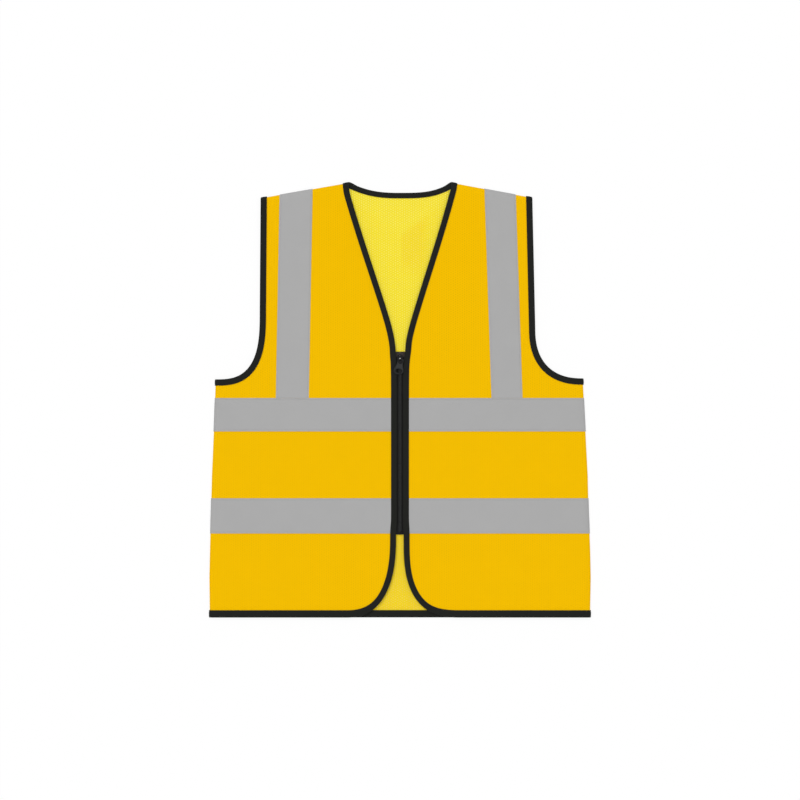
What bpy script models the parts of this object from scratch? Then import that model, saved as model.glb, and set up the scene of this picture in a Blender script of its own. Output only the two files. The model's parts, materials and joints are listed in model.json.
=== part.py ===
"""Zip-front mesh safety vest, laid flat on its back, front up, neck towards +Y.

Every cloth piece is cut flat, in millimetres from the centre line and the hem, and then
laid on the stack: the front on the upper half, the back on the lower half. Past the side
seams and the shoulder seams the cloth turns down (front) or up (back) to meet its neighbour.
"""
import math

import bmesh
import bpy
from mathutils import Matrix, Vector

MM = 0.001
LENGTH = 653.0  # hem to the neck points
LEFT, RIGHT = -1, 1
SIDES = {LEFT: "left", RIGHT: "right"}
FRONT, BACK = 1, -1

# The stack, as heights above the middle plane between the front and the back.
WALL = 1.0
GAP = 0.3
HALF_SPACE = 0.6
UNDER = (HALF_SPACE, HALF_SPACE + WALL)  # inner fold of a binding
CLOTH = (UNDER[1] + GAP, UNDER[1] + GAP + WALL)  # panels
OVER = (CLOTH[1] + GAP, CLOTH[1] + GAP + WALL)  # tapes, outer fold of a binding
MIDDLE = OVER[1]  # the middle plane's height above the floor
SEAM_HALF = GAP / 2
TURN = 4.0  # cloth that turns over a seam
TURN_STEPS = (0.0, TURN / 3, TURN * 2 / 3, TURN)
SET_BACK = WALL + GAP  # raw edge inside its folded binding

# Binding widths, and the rounding of its folded edge
BINDING = 8.9
HEM_BINDING = 11.0
BINDING_ROUND = 0.45

# Where the cloth starts to turn at the side seams.
SIDE_SEAM = (  # height, left, right
    (0.0, 283.1, 283.1),
    (60.0, 284.3, 284.9),
    (100.0, 283.4, 284.2),
    (165.0, 281.2, 281.4),
    (212.0, 279.9, 279.9),
    (290.0, 276.3, 275.1),
    (359.0, 274.1, 271.5),
)
# Where it starts to turn at the shoulders: neck end and arm end.
SHOULDER = {LEFT: ((75.8, 649.6), (208.8, 626.4)), RIGHT: ((75.8, 649.8), (198.3, 627.1))}

# Armholes: straight down from the shoulder, then a squarish quarter curve to the underarm.
ARM_TOP = {LEFT: 209.0, RIGHT: 198.5}
ARM_STRAIGHT_END = {LEFT: (210.5, 460.0), RIGHT: (203.0, 435.0)}
UNDERARM = {LEFT: 357.5, RIGHT: 359.0}
ARM_SQUARENESS = {LEFT: 2.95, RIGHT: 2.45}
ARM_STEPS = 9
ARM_CLEAR = 1.0  # the curve ends this far inside the side seam's turning line

# Front edges: zip edge, V neck as a ramp with a soft start, rounded lower corner.
ZIP_EDGE = 4.5
V_START = {LEFT: 416.0, RIGHT: 409.5}
V_SLOPE = {LEFT: 0.329, RIGHT: 0.315}
V_SOFTNESS = 16.0
V_EASE = {  # heights above which the V straightens, and how strongly
    LEFT: ((545.0, 0.0002), (632.0, 0.0075)),
    RIGHT: ((550.0, 0.00023), (632.0, 0.002)),
}
V_HEIGHTS = (370.0, 392.0, 404.0, 414.0, 424.0, 436.0, 452.0, 480.0, 560.0, 632.0)
CORNER = {LEFT: (130.0, 71.0, 2.3), RIGHT: (120.0, 74.0, 2.45)}  # height, reach, squareness
CORNER_STEPS = 11

# Back neck: a shallow scoop, which slants out a little as it goes over the shoulders.
NECK_LOW = 637.4
NECK_DEPTH = 15.0
NECK_HALF = 74.0
NECK_SQUARENESS = 3.0
NECK_STEPS = (0.0, 14.0, 28.0, 40.0, 50.0, 59.0, 66.0)
NECK_SLANT = 0.75
NECK_SET_BACK = 1.7

# Reflective tape
BAND_CLEAR = 0.8  # from the zip edge's binding
BANDS = (  # name, bottom, width
    ("lower", 126.3, 52.7),
    ("upper", 279.4, 50.0),
)
BRACES = (  # side, inner edge at the band, inner edge at the shoulder, width
    (LEFT, 137.0, 131.1, 49.2),
    (RIGHT, 137.3, 126.6, 46.4),
)

# Zip, as heights above the floor where it says floor.
ZIP_SPAN = (124.5, 399.0)
ZIP_TAPE_EDGE = (0.2, 14.5)
ZIP_TAPE_FLOOR = 3.5
CHAIN_HALF = 3.2
CHAIN_FLOOR = (4.8, 6.8)
SLIDER_Y = 387.5
SLIDER_SHAPE = (  # half width, distance from the lower end
    (3.1, 0.0),
    (3.9, 0.8),
    (4.6, 8.0),
    (4.1, 10.6),
    (2.6, 12.0),
)
SLIDER_LENGTH = SLIDER_SHAPE[-1][1]
SLIDER_LOW = SLIDER_Y - SLIDER_LENGTH / 2
SLIDER_TOP_FLOOR = (7.1, 8.2)
SLIDER_UNDER_FLOOR = (2.6, 3.2)
UNDER_INSET = 0.3  # the lower wing is a little narrower than the top plate
FLANGE = 0.5
FLANGE_SPAN = (0.8, 7.0)  # from the slider's lower end
POST_HALF = 0.8
POST_SPAN = (7.2, 11.4)  # from the slider's lower end
TAPE_SPREAD = 1.4  # half the gap between the tapes at the post
TAPE_CLOSE = 4.0  # from the slider's lower end: here the tapes have come together
EMBED = 0.5  # joined metal shapes reach this far into each other
SLIDER_BEVEL = 0.3
STOP_SIZE = (2.8, 3.0)
STOP_BEVEL = 0.4
BOTTOM_STOP_HALF = 3.6
BOTTOM_STOP_TOP = 7.1
BOTTOM_STOP_UP = 1.0  # from the tapes' lower ends

# Pull tab: it hangs on the slider's bail and turns about its cross bar.
HINGE_FLOOR = 9.5
BAR_RADIUS = 0.8
BAIL_RADII = (1.3, 2.3)
BAIL_WIDTH = 2.0
BAIL_STEPS = 12
TAB_TILT = math.radians(-11.0)
TAB_THICKNESS = 1.4
TAB_HEAD = 0.8
TAB_SLIDE = 1.2  # the tab has slipped this far along its bar, to the right
TAB_NECK_HALF = (4.8, 4.5)  # at the bar, where it is narrowest
TAB_NECK_AT = 5.0
TAB_WINDOW = (3.5, 1.9, 5.7)  # half width at the bar, half width at its lower end, reach below the bar
TAB_STEPS = (2.0, 5.0, 8.0, 11.0, 13.5, 15.5)  # below the bar
BAR_INSET = 0.5  # the bar's ends stop short of the tab's edges
RING_AT = 17.4
RING_OUTER = (7.4, 5.5)
RING_TURNS = (20, 38, 54, 68, 80)  # degrees round the ring's lower half
RING_HOLE = (4.7, 3.0)
HOLE_SIDES = 24
CUT_DEPTH = 3.0

SHARP_ANGLE = math.radians(40.0)

COLOURS = {  # base colour, roughness, metallic
    "mesh": ((0.88, 0.51, 0.002), 0.8, 0.0),
    "tape": ((0.41, 0.41, 0.41), 0.45, 0.0),
    "binding": ((0.016, 0.017, 0.015), 0.75, 0.0),
    "zip_cloth": ((0.018, 0.018, 0.018), 0.8, 0.0),
    "zip_teeth": ((0.02, 0.02, 0.02), 0.4, 0.0),
    "slider": ((0.05, 0.05, 0.055), 0.4, 0.6),
}


def clear_scene():
    for old in list(bpy.data.objects):
        bpy.data.objects.remove(old, do_unlink=True)


def finish_material(kind):
    """The shared material of one kind of finish."""
    material = bpy.data.materials.get(kind)
    if material is None:
        colour, roughness, metallic = COLOURS[kind]
        material = bpy.data.materials.new(kind)
        material.use_nodes = True
        shader = material.node_tree.nodes["Principled BSDF"]
        shader.inputs["Base Color"].default_value = (*colour, 1.0)
        shader.inputs["Roughness"].default_value = roughness
        shader.inputs["Metallic"].default_value = metallic
    return material


def object_from(name, bm, kind):
    bmesh.ops.recalc_face_normals(bm, faces=bm.faces)
    mesh = bpy.data.meshes.new(name)
    bm.to_mesh(mesh)
    bm.free()
    mesh.shade_smooth()
    mesh.set_sharp_from_angle(angle=SHARP_ANGLE)
    mesh.materials.append(finish_material(kind))
    piece = bpy.data.objects.new(name, mesh)
    bpy.context.collection.objects.link(piece)
    return piece


def place(x, y, floor):
    """A point of the garment, in metres, from millimetres across, up and above the floor."""
    return Vector((x, y - LENGTH / 2, floor)) * MM


# ---------------------------------------------------------------- seams

def side_axis(side, y):
    """Distance from the centre line at which the cloth starts to turn at the side seam."""
    column = 1 if side == LEFT else 2
    for low, high in zip(SIDE_SEAM, SIDE_SEAM[1:]):
        if y <= high[0] or high is SIDE_SEAM[-1]:
            share = (y - low[0]) / (high[0] - low[0])
            return low[column] + share * (high[column] - low[column])


def side_slope(side, y):
    return (side_axis(side, y + 1.0) - side_axis(side, y - 1.0)) / 2.0


def shoulder_axis(side):
    """Neck end, direction towards the arm, and outward normal of a shoulder's turning line."""
    neck, arm = (Vector((side * x, y)) for x, y in SHOULDER[side])
    along = (arm - neck).normalized()
    outward = Vector((-side * along.y, side * along.x))
    return neck, along, outward


def past_shoulder(side, point):
    neck, _, outward = shoulder_axis(side)
    return (point - neck).dot(outward)


def lay(point, height, layer):
    """Place a flat point on the stack, turned over any seam that it has passed."""
    x, y = point
    side = LEFT if x < 0 else RIGHT
    past_side = abs(x) - side_axis(side, y) if y < UNDERARM[side] + TURN else 0.0
    beyond = past_shoulder(side, Vector((x, y)))
    turned, rise = 0.0, height
    if past_side > 0 or beyond > 0:
        angle = min(max(past_side, beyond) / TURN, 1.0) * math.acos(SEAM_HALF / height)
        turned, rise = height * math.sin(angle), height * math.cos(angle)
    if past_side > 0:
        x = side * (side_axis(side, y) + turned)
    elif beyond > 0:
        _, _, outward = shoulder_axis(side)
        x += outward.x * (turned - beyond)
        y += outward.y * (turned - beyond)
    return place(x, y, MIDDLE + layer * rise)


# ---------------------------------------------------------------- finished edges
# An edge is a list of (point, inward): inward is the step into the cloth for each
# millimetre of binding, which at a seam follows the seam.

def with_normals(points, side_of_cloth):
    edge = []
    for index, point in enumerate(points):
        before = points[max(index - 1, 0)]
        after = points[min(index + 1, len(points) - 1)]
        travel = (after - before).normalized()
        edge.append((point, Vector((-travel.y, travel.x)) * side_of_cloth))
    return edge


def shoulder_turn(side, start, slope, inward_to_arm):
    """The edge's last points, over the shoulder, from a point on or below its turning line."""
    neck, along, outward = shoulder_axis(side)
    direction = Vector((slope, 1.0)).normalized()
    reach = -past_shoulder(side, start) / direction.dot(outward)
    inward = along * (1.0 if inward_to_arm else -1.0)
    travels = [reach + step / direction.dot(outward) for step in TURN_STEPS]
    return [(start + direction * travel, inward) for travel in travels]


def side_turn(side, y, up):
    """The edge's points over the side seam at one height, from the inside outwards."""
    inward = Vector((side * side_slope(side, y), 1.0)) * (1.0 if up else -1.0)
    return [(Vector((side * (side_axis(side, y) + step), y)), inward) for step in TURN_STEPS]


def v_edge(side, y):
    """Distance of the front edge from the centre line, from the zip up to the neck."""
    ramp = math.log1p(math.exp((y - V_START[side]) / V_SOFTNESS)) * V_SOFTNESS
    ease = sum(strength * max(0.0, y - start) ** 2 for start, strength in V_EASE[side])
    return ZIP_EDGE + V_SLOPE[side] * ramp - ease


def squarish(turn, squareness):
    """Cosine and sine of a quarter turn, drawn out towards a square."""
    power = 2.0 / squareness
    return abs(math.cos(turn)) ** power, abs(math.sin(turn)) ** power


def front_edge(side):
    """Hem at the side seam, lower corner, zip edge, V neck and over the shoulder."""
    height, reach, squareness = CORNER[side]
    corner = []
    for step in range(CORNER_STEPS + 1):
        across, up = squarish(math.pi / 2 * (1 - step / CORNER_STEPS), squareness)
        corner.append(Vector((side * (ZIP_EDGE + reach * (1 - across)), height * (1 - up))))
    neckline = [Vector((side * v_edge(side, y), y)) for y in V_HEIGHTS]
    middle = with_normals(corner + neckline, -side)
    hem = list(reversed(side_turn(side, 0.0, up=True)))
    last = neckline[-1]
    slope = side * (v_edge(side, LENGTH - TURN) - abs(last.x)) / (LENGTH - TURN - last.y)
    return hem + middle + shoulder_turn(side, last, slope, inward_to_arm=True)


def arm_edge(side):
    """Underarm at the side seam, round the armhole and over the shoulder."""
    straight_x, straight_y = ARM_STRAIGHT_END[side]
    reach = side_axis(side, UNDERARM[side]) + TURN - straight_x
    curve = []
    for step in range(ARM_STEPS + 1):
        across, down = squarish(math.pi / 2 * (1 - step / ARM_STEPS), ARM_SQUARENESS[side])
        x = straight_x + reach * (1 - across)
        y = straight_y - (straight_y - UNDERARM[side]) * down
        if x < side_axis(side, UNDERARM[side]) - ARM_CLEAR:
            curve.append(Vector((side * x, y)))
    slope = side * (ARM_TOP[side] - straight_x) / (SHOULDER[side][1][1] - straight_y)
    under = list(reversed(side_turn(side, UNDERARM[side], up=False)))
    middle = with_normals([under[-1][0]] + curve + [curve[-1] + Vector((slope, 1.0))], side)[1:-1]
    return under + middle + shoulder_turn(side, curve[-1], slope, inward_to_arm=False)


def neck_edge():
    """Back neck, from over the left shoulder to over the right one."""
    def low(x):
        return NECK_LOW + NECK_DEPTH * (x / NECK_HALF) ** NECK_SQUARENESS

    half = [Vector((x, low(x))) for x in NECK_STEPS]
    middle = [Vector((-point.x, point.y)) for point in reversed(half[1:])] + half
    ends = []
    for side in SIDES:
        last = Vector((side * NECK_HALF, low(NECK_HALF)))
        ends.append(shoulder_turn(side, last, side * NECK_SLANT, inward_to_arm=True))
    return list(reversed(ends[0])) + with_normals(middle, -1) + ends[1]


def hem_edge():
    """Back hem, from the left side seam to the right one."""
    left = list(reversed(side_turn(LEFT, 0.0, up=True)))
    return left + side_turn(RIGHT, 0.0, up=True)


def raw(edge, set_back=SET_BACK):
    """The cloth's cut edge, which lies inside the folded binding."""
    return [point + inward * set_back for point, inward in edge]


# ---------------------------------------------------------------- cloth walls

def key_of(point):
    return round(point.x, 3), round(point.y, 3)


def wall(name, faces, levels, layer, kind):
    """A sheet of cloth: flat faces laid at two levels and closed along their free edges."""
    bm = bmesh.new()
    found = {}

    def vertex(point, level):
        key = (key_of(point), level)
        if key not in found:
            found[key] = bm.verts.new(lay(point, level, layer))
        return found[key]

    used = {}
    for face in faces:
        for level in levels:
            bm.faces.new([vertex(point, level) for point in face])
        for start, end in zip(face, face[1:] + face[:1]):
            used.setdefault(frozenset((key_of(start), key_of(end))), []).append((start, end))
    for sharing in used.values():
        if len(sharing) == 1:
            start, end = sharing[0]
            corners = ((start, levels[0]), (end, levels[0]), (end, levels[1]), (start, levels[1]))
            bm.faces.new([vertex(point, level) for point, level in corners])
    return object_from(name, bm, kind)


def net(rows):
    """Quads between rows of points."""
    return [
        [low[i], low[i + 1], high[i + 1], high[i]]
        for low, high in zip(rows, rows[1:])
        for i in range(len(low) - 1)
    ]


def side_strip(side, heights):
    """Faces that turn over the side seam, a row at each height."""
    rows = []
    for y in heights:
        rows.append([Vector((side * (side_axis(side, y) + step), y)) for step in TURN_STEPS])
    return net(rows)


def side_heights(low, high):
    return [low] + [row[0] for row in SIDE_SEAM if low < row[0] < high] + [high]


def shoulder_strip(first, second):
    """Faces that turn over the shoulder between two edges' last points."""
    return net(list(zip(first[-len(TURN_STEPS):], second[-len(TURN_STEPS):])))


def side_line(side, low, high):
    return [Vector((side * side_axis(side, y), y)) for y in side_heights(low, high)]


def front_panel(side):
    turn = len(TURN_STEPS) - 1
    opening, arm = raw(front_edge(side)), raw(arm_edge(side))
    seam = side_heights(opening[0].y, arm[0].y)
    inner = opening[turn:-turn]
    outer = arm[turn:-turn]
    field = inner + list(reversed(outer)) + list(reversed(side_line(side, seam[0], seam[-1])))[1:-1]
    faces = [field] + side_strip(side, seam) + shoulder_strip(opening, arm)
    wall(f"front_panel_{SIDES[side]}", faces, CLOTH, FRONT, "mesh")


def back_panel():
    turn = len(TURN_STEPS) - 1
    arms = {side: raw(arm_edge(side)) for side in SIDES}
    neck, hem = raw(neck_edge(), NECK_SET_BACK), raw(hem_edge())
    seam = side_heights(hem[0].y, arms[LEFT][0].y)
    left, right = (side_line(side, seam[0], seam[-1]) for side in (LEFT, RIGHT))
    field = right[:-1] + arms[RIGHT][turn:-turn]
    field += list(reversed(neck[turn:-turn]))
    field += list(reversed(arms[LEFT][turn:-turn])) + list(reversed(left[:-1]))
    faces = [field] + side_strip(LEFT, seam) + side_strip(RIGHT, seam)
    faces += shoulder_strip(list(reversed(neck)), arms[LEFT]) + shoulder_strip(neck, arms[RIGHT])
    wall("back_panel", faces, CLOTH, BACK, "mesh")


# ---------------------------------------------------------------- reflective tape

def band(name, layer, side, bottom, top, inner):
    """A length of tape from an inner end round to the side seam."""
    ends = [Vector((side * inner, y)) for y in (top, bottom)]
    faces = [side_line(side, bottom, top) + ends] + side_strip(side, side_heights(bottom, top))
    wall(name, faces, OVER, layer, "tape")


def back_band(name, bottom, top):
    left, right = side_line(LEFT, bottom, top), side_line(RIGHT, bottom, top)
    faces = [right + list(reversed(left))]
    for side in SIDES:
        faces += side_strip(side, side_heights(bottom, top))
    wall(name, faces, OVER, BACK, "tape")


def brace(name, layer, side, low_inner, high_inner, width, bottom):
    """A length of tape from the upper band over the shoulder."""
    edges = []
    for offset in (0.0, width):
        low = Vector((side * (low_inner + offset), bottom))
        slope = side * (high_inner - low_inner) / (SHOULDER[side][0][1] - bottom)
        over = [point for point, _ in shoulder_turn(side, low, slope, inward_to_arm=True)]
        edges.append([low] + over)
    inner, outer = edges
    faces = [[inner[0], outer[0], outer[1], inner[1]]] + shoulder_strip(inner, outer)
    wall(name, faces, OVER, layer, "tape")


def tapes():
    inner_end = ZIP_EDGE + BINDING + BAND_CLEAR
    for name, bottom, width in BANDS:
        top = bottom + width
        for side, side_name in SIDES.items():
            band(f"tape_{name}_front_{side_name}", FRONT, side, bottom, top, inner_end)
        back_band(f"tape_{name}_back", bottom, top)
    _, upper_bottom, upper_width = BANDS[-1]
    for side, low_inner, high_inner, width in BRACES:
        for layer, layer_name in ((FRONT, "front"), (BACK, "back")):
            name = f"tape_brace_{layer_name}_{SIDES[side]}"
            brace(name, layer, side, low_inner, high_inner, width, upper_bottom + upper_width + GAP)


# ---------------------------------------------------------------- bindings

def fold_section(width):
    """The folded tape across: distance from the finished edge, and level on the stack."""
    low, high = UNDER[0], OVER[1]
    return (
        (width, high), (BINDING_ROUND, high), (0.0, high - BINDING_ROUND),
        (0.0, low + BINDING_ROUND), (BINDING_ROUND, low), (width, low),
        (width, UNDER[1]), (WALL, UNDER[1]), (WALL, OVER[0]), (width, OVER[0]),
    )


def binding(name, edge, layer, width_at):
    """Bias tape folded over a finished edge."""
    bm = bmesh.new()
    rings = []
    for point, inward in edge:
        section = fold_section(width_at(point))
        rings.append([bm.verts.new(lay(point + inward * n, level, layer)) for n, level in section])
    for ring, following in zip(rings, rings[1:]):
        for i, corner in enumerate(ring):
            j = (i + 1) % len(ring)
            bm.faces.new((corner, ring[j], following[j], following[i]))
    bm.faces.new(rings[0])
    bm.faces.new(reversed(rings[-1]))
    return object_from(name, bm, "binding")


def front_width(point):
    """Binding width, which grows to the hem's over the last of the lower corner."""
    _, reach, _ = CORNER[LEFT if point.x < 0 else RIGHT]
    if point.y > BINDING:
        return BINDING
    share = (abs(point.x) - reach / 3) / (reach * 2 / 3)
    return BINDING + (HEM_BINDING - BINDING) * min(max(share, 0.0), 1.0)


def bindings():
    for side, side_name in SIDES.items():
        binding(f"binding_front_{side_name}", front_edge(side), FRONT, front_width)
        for layer, layer_name in ((FRONT, "front"), (BACK, "back")):
            name = f"binding_armhole_{layer_name}_{side_name}"
            binding(name, arm_edge(side), layer, lambda point: BINDING)
    binding("binding_neck_back", neck_edge(), BACK, lambda point: BINDING)
    binding("binding_hem_back", hem_edge(), BACK, lambda point: HEM_BINDING)


# ---------------------------------------------------------------- zip

def local(x, y, z):
    """A point of the pull tab in the frame of its hinge."""
    return Vector((x + TAB_SLIDE, y, z)) * MM


def extruded(bm, points, step):
    """Fill an outline and draw it out by a step, in metres."""
    face = bm.faces.new([bm.verts.new(point) for point in points])
    grown = bmesh.ops.extrude_face_region(bm, geom=[face])["geom"]
    moved = [item for item in grown if isinstance(item, bmesh.types.BMVert)]
    bmesh.ops.translate(bm, verts=moved, vec=step)


def prism(name, outline, levels, kind="slider", bevel=0.0, put=place):
    """An upright shape on an outline, between two levels, with both rims bevelled."""
    bm = bmesh.new()
    low, high = levels
    extruded(bm, [put(x, y, low) for x, y in outline], (0.0, 0.0, (high - low) * MM))
    if bevel:
        rim = [edge for edge in bm.edges if len({round(v.co.z, 6) for v in edge.verts}) == 1]
        bmesh.ops.bevel(bm, geom=rim, offset=bevel * MM, segments=2, affect="EDGES", profile=0.5)
    return object_from(name, bm, kind)


def rectangle(x0, x1, y0, y1):
    return [(x0, y0), (x1, y0), (x1, y1), (x0, y1)]


def mirrored(right):
    """A closed outline from its right half, given from one end to the other."""
    return right + [(-x, y) for x, y in reversed(right)]


def combine(body, other, operation):
    other.hide_render = True
    other.display_type = "WIRE"
    modifier = body.modifiers.new(other.name, "BOOLEAN")
    modifier.operation = operation
    modifier.solver = "EXACT"
    modifier.object = other


def zip_tapes():
    low, high = ZIP_SPAN
    near, far = ZIP_TAPE_EDGE
    spread = SLIDER_LOW + POST_SPAN[0] - GAP
    shape = [
        (near, low), (far, low), (far, high),
        (TAPE_SPREAD, high), (TAPE_SPREAD, spread), (near, SLIDER_LOW + TAPE_CLOSE),
    ]
    for side, side_name in SIDES.items():
        outline = [(side * x, y) for x, y in shape]
        levels = (ZIP_TAPE_FLOOR, ZIP_TAPE_FLOOR + WALL)
        prism(f"zip_tape_{side_name}", outline, levels, "zip_cloth")


def zip_chain():
    stop_width, stop_length = STOP_SIZE
    stop_low = ZIP_SPAN[0] + BOTTOM_STOP_UP
    chain_span = (stop_low + stop_length + GAP, SLIDER_LOW + POST_SPAN[0] - GAP)
    prism("zip_chain", rectangle(-CHAIN_HALF, CHAIN_HALF, *chain_span), CHAIN_FLOOR, "zip_teeth")
    bottom = rectangle(-BOTTOM_STOP_HALF, BOTTOM_STOP_HALF, stop_low, stop_low + stop_length)
    prism("zip_bottom_stop", bottom, (CHAIN_FLOOR[0], BOTTOM_STOP_TOP), bevel=STOP_BEVEL)
    top_low = SLIDER_LOW + SLIDER_LENGTH + GAP
    for side, side_name in SIDES.items():
        xs = sorted((side * TAPE_SPREAD, side * (TAPE_SPREAD + stop_width)))
        outline = rectangle(*xs, top_low, top_low + stop_length)
        prism(f"zip_top_stop_{side_name}", outline, CHAIN_FLOOR, bevel=STOP_BEVEL)


def slider_outline(inset):
    """Shield shape: narrow where the closed chain leaves, wide where the halves come in."""
    return mirrored([(half - inset, SLIDER_LOW + up) for half, up in SLIDER_SHAPE])


def bail():
    """Half hoop over the pull tab's cross bar, with feet on the slider."""
    foot = SLIDER_TOP_FLOOR[1] - EMBED
    turns = [math.pi * step / BAIL_STEPS for step in range(BAIL_STEPS + 1)]
    hoops = []
    for radius in BAIL_RADII:
        hoop = [(radius * math.cos(turn), HINGE_FLOOR + radius * math.sin(turn)) for turn in turns]
        hoops.append([(radius, foot)] + hoop + [(-radius, foot)])
    inner, outer = hoops
    bm = bmesh.new()
    points = [place(-BAIL_WIDTH / 2, SLIDER_Y + y, z) for y, z in outer + list(reversed(inner))]
    extruded(bm, points, (BAIL_WIDTH * MM, 0.0, 0.0))
    return object_from("bail_guide", bm, "slider")


def zip_slider():
    body = prism("zip_slider", slider_outline(0.0), SLIDER_TOP_FLOOR, bevel=SLIDER_BEVEL)
    under = prism("under_wing_guide", slider_outline(UNDER_INSET), SLIDER_UNDER_FLOOR)
    post_ys = (SLIDER_LOW + up for up in POST_SPAN)
    post_levels = (SLIDER_UNDER_FLOOR[1] - EMBED / 2, SLIDER_TOP_FLOOR[0] + EMBED)
    shapes = [under, prism("post_guide", rectangle(-POST_HALF, POST_HALF, *post_ys), post_levels)]
    for side, side_name in SIDES.items():
        inner = CHAIN_HALF + GAP
        xs = sorted((side * inner, side * (inner + FLANGE)))
        ys = (SLIDER_LOW + up for up in FLANGE_SPAN)
        levels = (CHAIN_FLOOR[0], SLIDER_TOP_FLOOR[0] + EMBED)
        shapes.append(prism(f"flange_guide_{side_name}", rectangle(*xs, *ys), levels))
    for shape in shapes + [bail()]:
        combine(body, shape, "UNION")


def tab_half_width(down):
    """Half width of the pull tab at a distance below its bar: a wide loop that eases into a ring."""
    top, waist = TAB_NECK_HALF
    ring_half, ring_reach = RING_OUTER
    if down > RING_AT:
        return ring_half * math.sqrt(max(0.0, 1 - ((down - RING_AT) / ring_reach) ** 2))
    neck = top + (waist - top) * min(down / TAB_NECK_AT, 1.0)
    flare = max(down - TAB_NECK_AT, 0.0) / (RING_AT - TAB_NECK_AT)
    return neck + (ring_half - waist) * flare * flare * (3 - 2 * flare)


def tab_outline():
    ring_downs = [RING_AT + RING_OUTER[1] * math.sin(math.radians(turn)) for turn in RING_TURNS]
    downs = [-TAB_HEAD, *TAB_STEPS, RING_AT, *ring_downs, RING_AT + RING_OUTER[1]]
    right = [(tab_half_width(max(down, 0.0)), -down) for down in downs]
    tip = right.pop()
    return right + [tip] + [(-x, y) for x, y in reversed(right)]


def ellipse(centre_y, half_x, half_y):
    turns = [2 * math.pi * step / HOLE_SIDES for step in range(HOLE_SIDES)]
    return [(half_x * math.cos(turn), centre_y + half_y * math.sin(turn)) for turn in turns]


def cross_bar():
    bm = bmesh.new()
    across = Matrix.Translation(local(0.0, 0.0, 0.0)) @ Matrix.Rotation(math.pi / 2, 4, "Y")
    length = 2 * (TAB_NECK_HALF[0] - BAR_INSET)
    bmesh.ops.create_cone(bm, cap_ends=True, segments=16, radius1=BAR_RADIUS * MM,
                          radius2=BAR_RADIUS * MM, depth=length * MM, matrix=across)
    return object_from("bar_guide", bm, "slider")


def pull_tab():
    half = TAB_THICKNESS / 2
    tab = prism("zip_pull_tab", tab_outline(), (-half, half), bevel=SLIDER_BEVEL, put=local)
    window_top, window_foot, window_down = TAB_WINDOW
    window_right = [(window_foot, -window_down), (window_top, 0.0), (window_top, TAB_HEAD * 2)]
    window_outline = mirrored(window_right)
    window = prism("window_guide", window_outline, (-CUT_DEPTH, CUT_DEPTH), put=local)
    hole_outline = ellipse(-RING_AT, *RING_HOLE)
    hole = prism("ring_hole_guide", hole_outline, (-CUT_DEPTH, CUT_DEPTH), put=local)
    bar = cross_bar()
    combine(tab, window, "DIFFERENCE")
    combine(tab, hole, "DIFFERENCE")
    combine(tab, bar, "UNION")
    pivot = bpy.data.objects.new("pull_hinge", None)
    bpy.context.collection.objects.link(pivot)
    pivot.location = place(0.0, SLIDER_Y, HINGE_FLOOR)
    pivot.rotation_euler = (0.0, 0.0, TAB_TILT)
    for piece in (tab, window, hole, bar):
        piece.parent = pivot


def build():
    clear_scene()
    back_panel()
    for side in SIDES:
        front_panel(side)
    tapes()
    bindings()
    zip_tapes()
    zip_chain()
    zip_slider()
    pull_tab()


build()
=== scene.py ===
"""Looks of the zip-front mesh safety vest, laid flat on its back: knit mesh, reflective tape,
folded bindings, their stitches, and a coil zip with its slider and pull tab.

Sizes are in millimetres. A cut point is (across from the centre line, up from the hem), as the
pieces lie before they turn over a seam, and lay() puts it on the stack.
"""

import json
import math

import bmesh
import bpy
from mathutils import Matrix, Vector
from mathutils.geometry import delaunay_2d_cdt
from mathutils.kdtree import KDTree


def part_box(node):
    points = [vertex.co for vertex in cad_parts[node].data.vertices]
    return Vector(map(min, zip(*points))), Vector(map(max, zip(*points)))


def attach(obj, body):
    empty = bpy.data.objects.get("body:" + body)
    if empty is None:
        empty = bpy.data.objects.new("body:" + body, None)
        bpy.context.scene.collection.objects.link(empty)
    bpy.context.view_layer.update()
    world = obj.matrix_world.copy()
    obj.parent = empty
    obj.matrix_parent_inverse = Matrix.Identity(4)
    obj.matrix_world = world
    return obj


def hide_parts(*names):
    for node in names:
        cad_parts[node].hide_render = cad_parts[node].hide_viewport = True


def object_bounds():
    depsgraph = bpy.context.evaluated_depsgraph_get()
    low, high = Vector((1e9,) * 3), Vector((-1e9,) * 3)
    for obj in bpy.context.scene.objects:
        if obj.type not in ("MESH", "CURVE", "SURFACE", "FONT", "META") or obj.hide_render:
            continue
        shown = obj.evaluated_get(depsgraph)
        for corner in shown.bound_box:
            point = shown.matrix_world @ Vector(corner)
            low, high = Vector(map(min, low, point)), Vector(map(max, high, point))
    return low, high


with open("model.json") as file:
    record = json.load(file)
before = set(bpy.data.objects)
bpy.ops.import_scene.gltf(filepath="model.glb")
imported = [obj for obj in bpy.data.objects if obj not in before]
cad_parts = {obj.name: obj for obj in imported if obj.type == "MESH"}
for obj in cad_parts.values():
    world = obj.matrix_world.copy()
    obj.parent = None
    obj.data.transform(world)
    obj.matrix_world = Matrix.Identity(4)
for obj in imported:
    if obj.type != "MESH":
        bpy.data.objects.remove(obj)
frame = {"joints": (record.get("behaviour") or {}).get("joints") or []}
cad_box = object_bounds()

MM = 0.001
X, Y, Z = 0, 1, 2
LEFT, RIGHT = -1, 1
SIDES = {LEFT: "left", RIGHT: "right"}
FRONT, BACK = 1, -1
LAYERS = {FRONT: "front", BACK: "back"}
HEM = cad_box[0].y / MM
TO_HEM = Matrix.Translation((0.0, cad_box[0].y, 0.0))  # for what is built up from the hem


def reach(node, axis):
    """Lowest and highest value of a node on one axis, in millimetres; on Y, up from the hem."""
    low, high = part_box(node)
    start = HEM if axis == Y else 0.0
    return low[axis] / MM - start, high[axis] / MM - start


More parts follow.
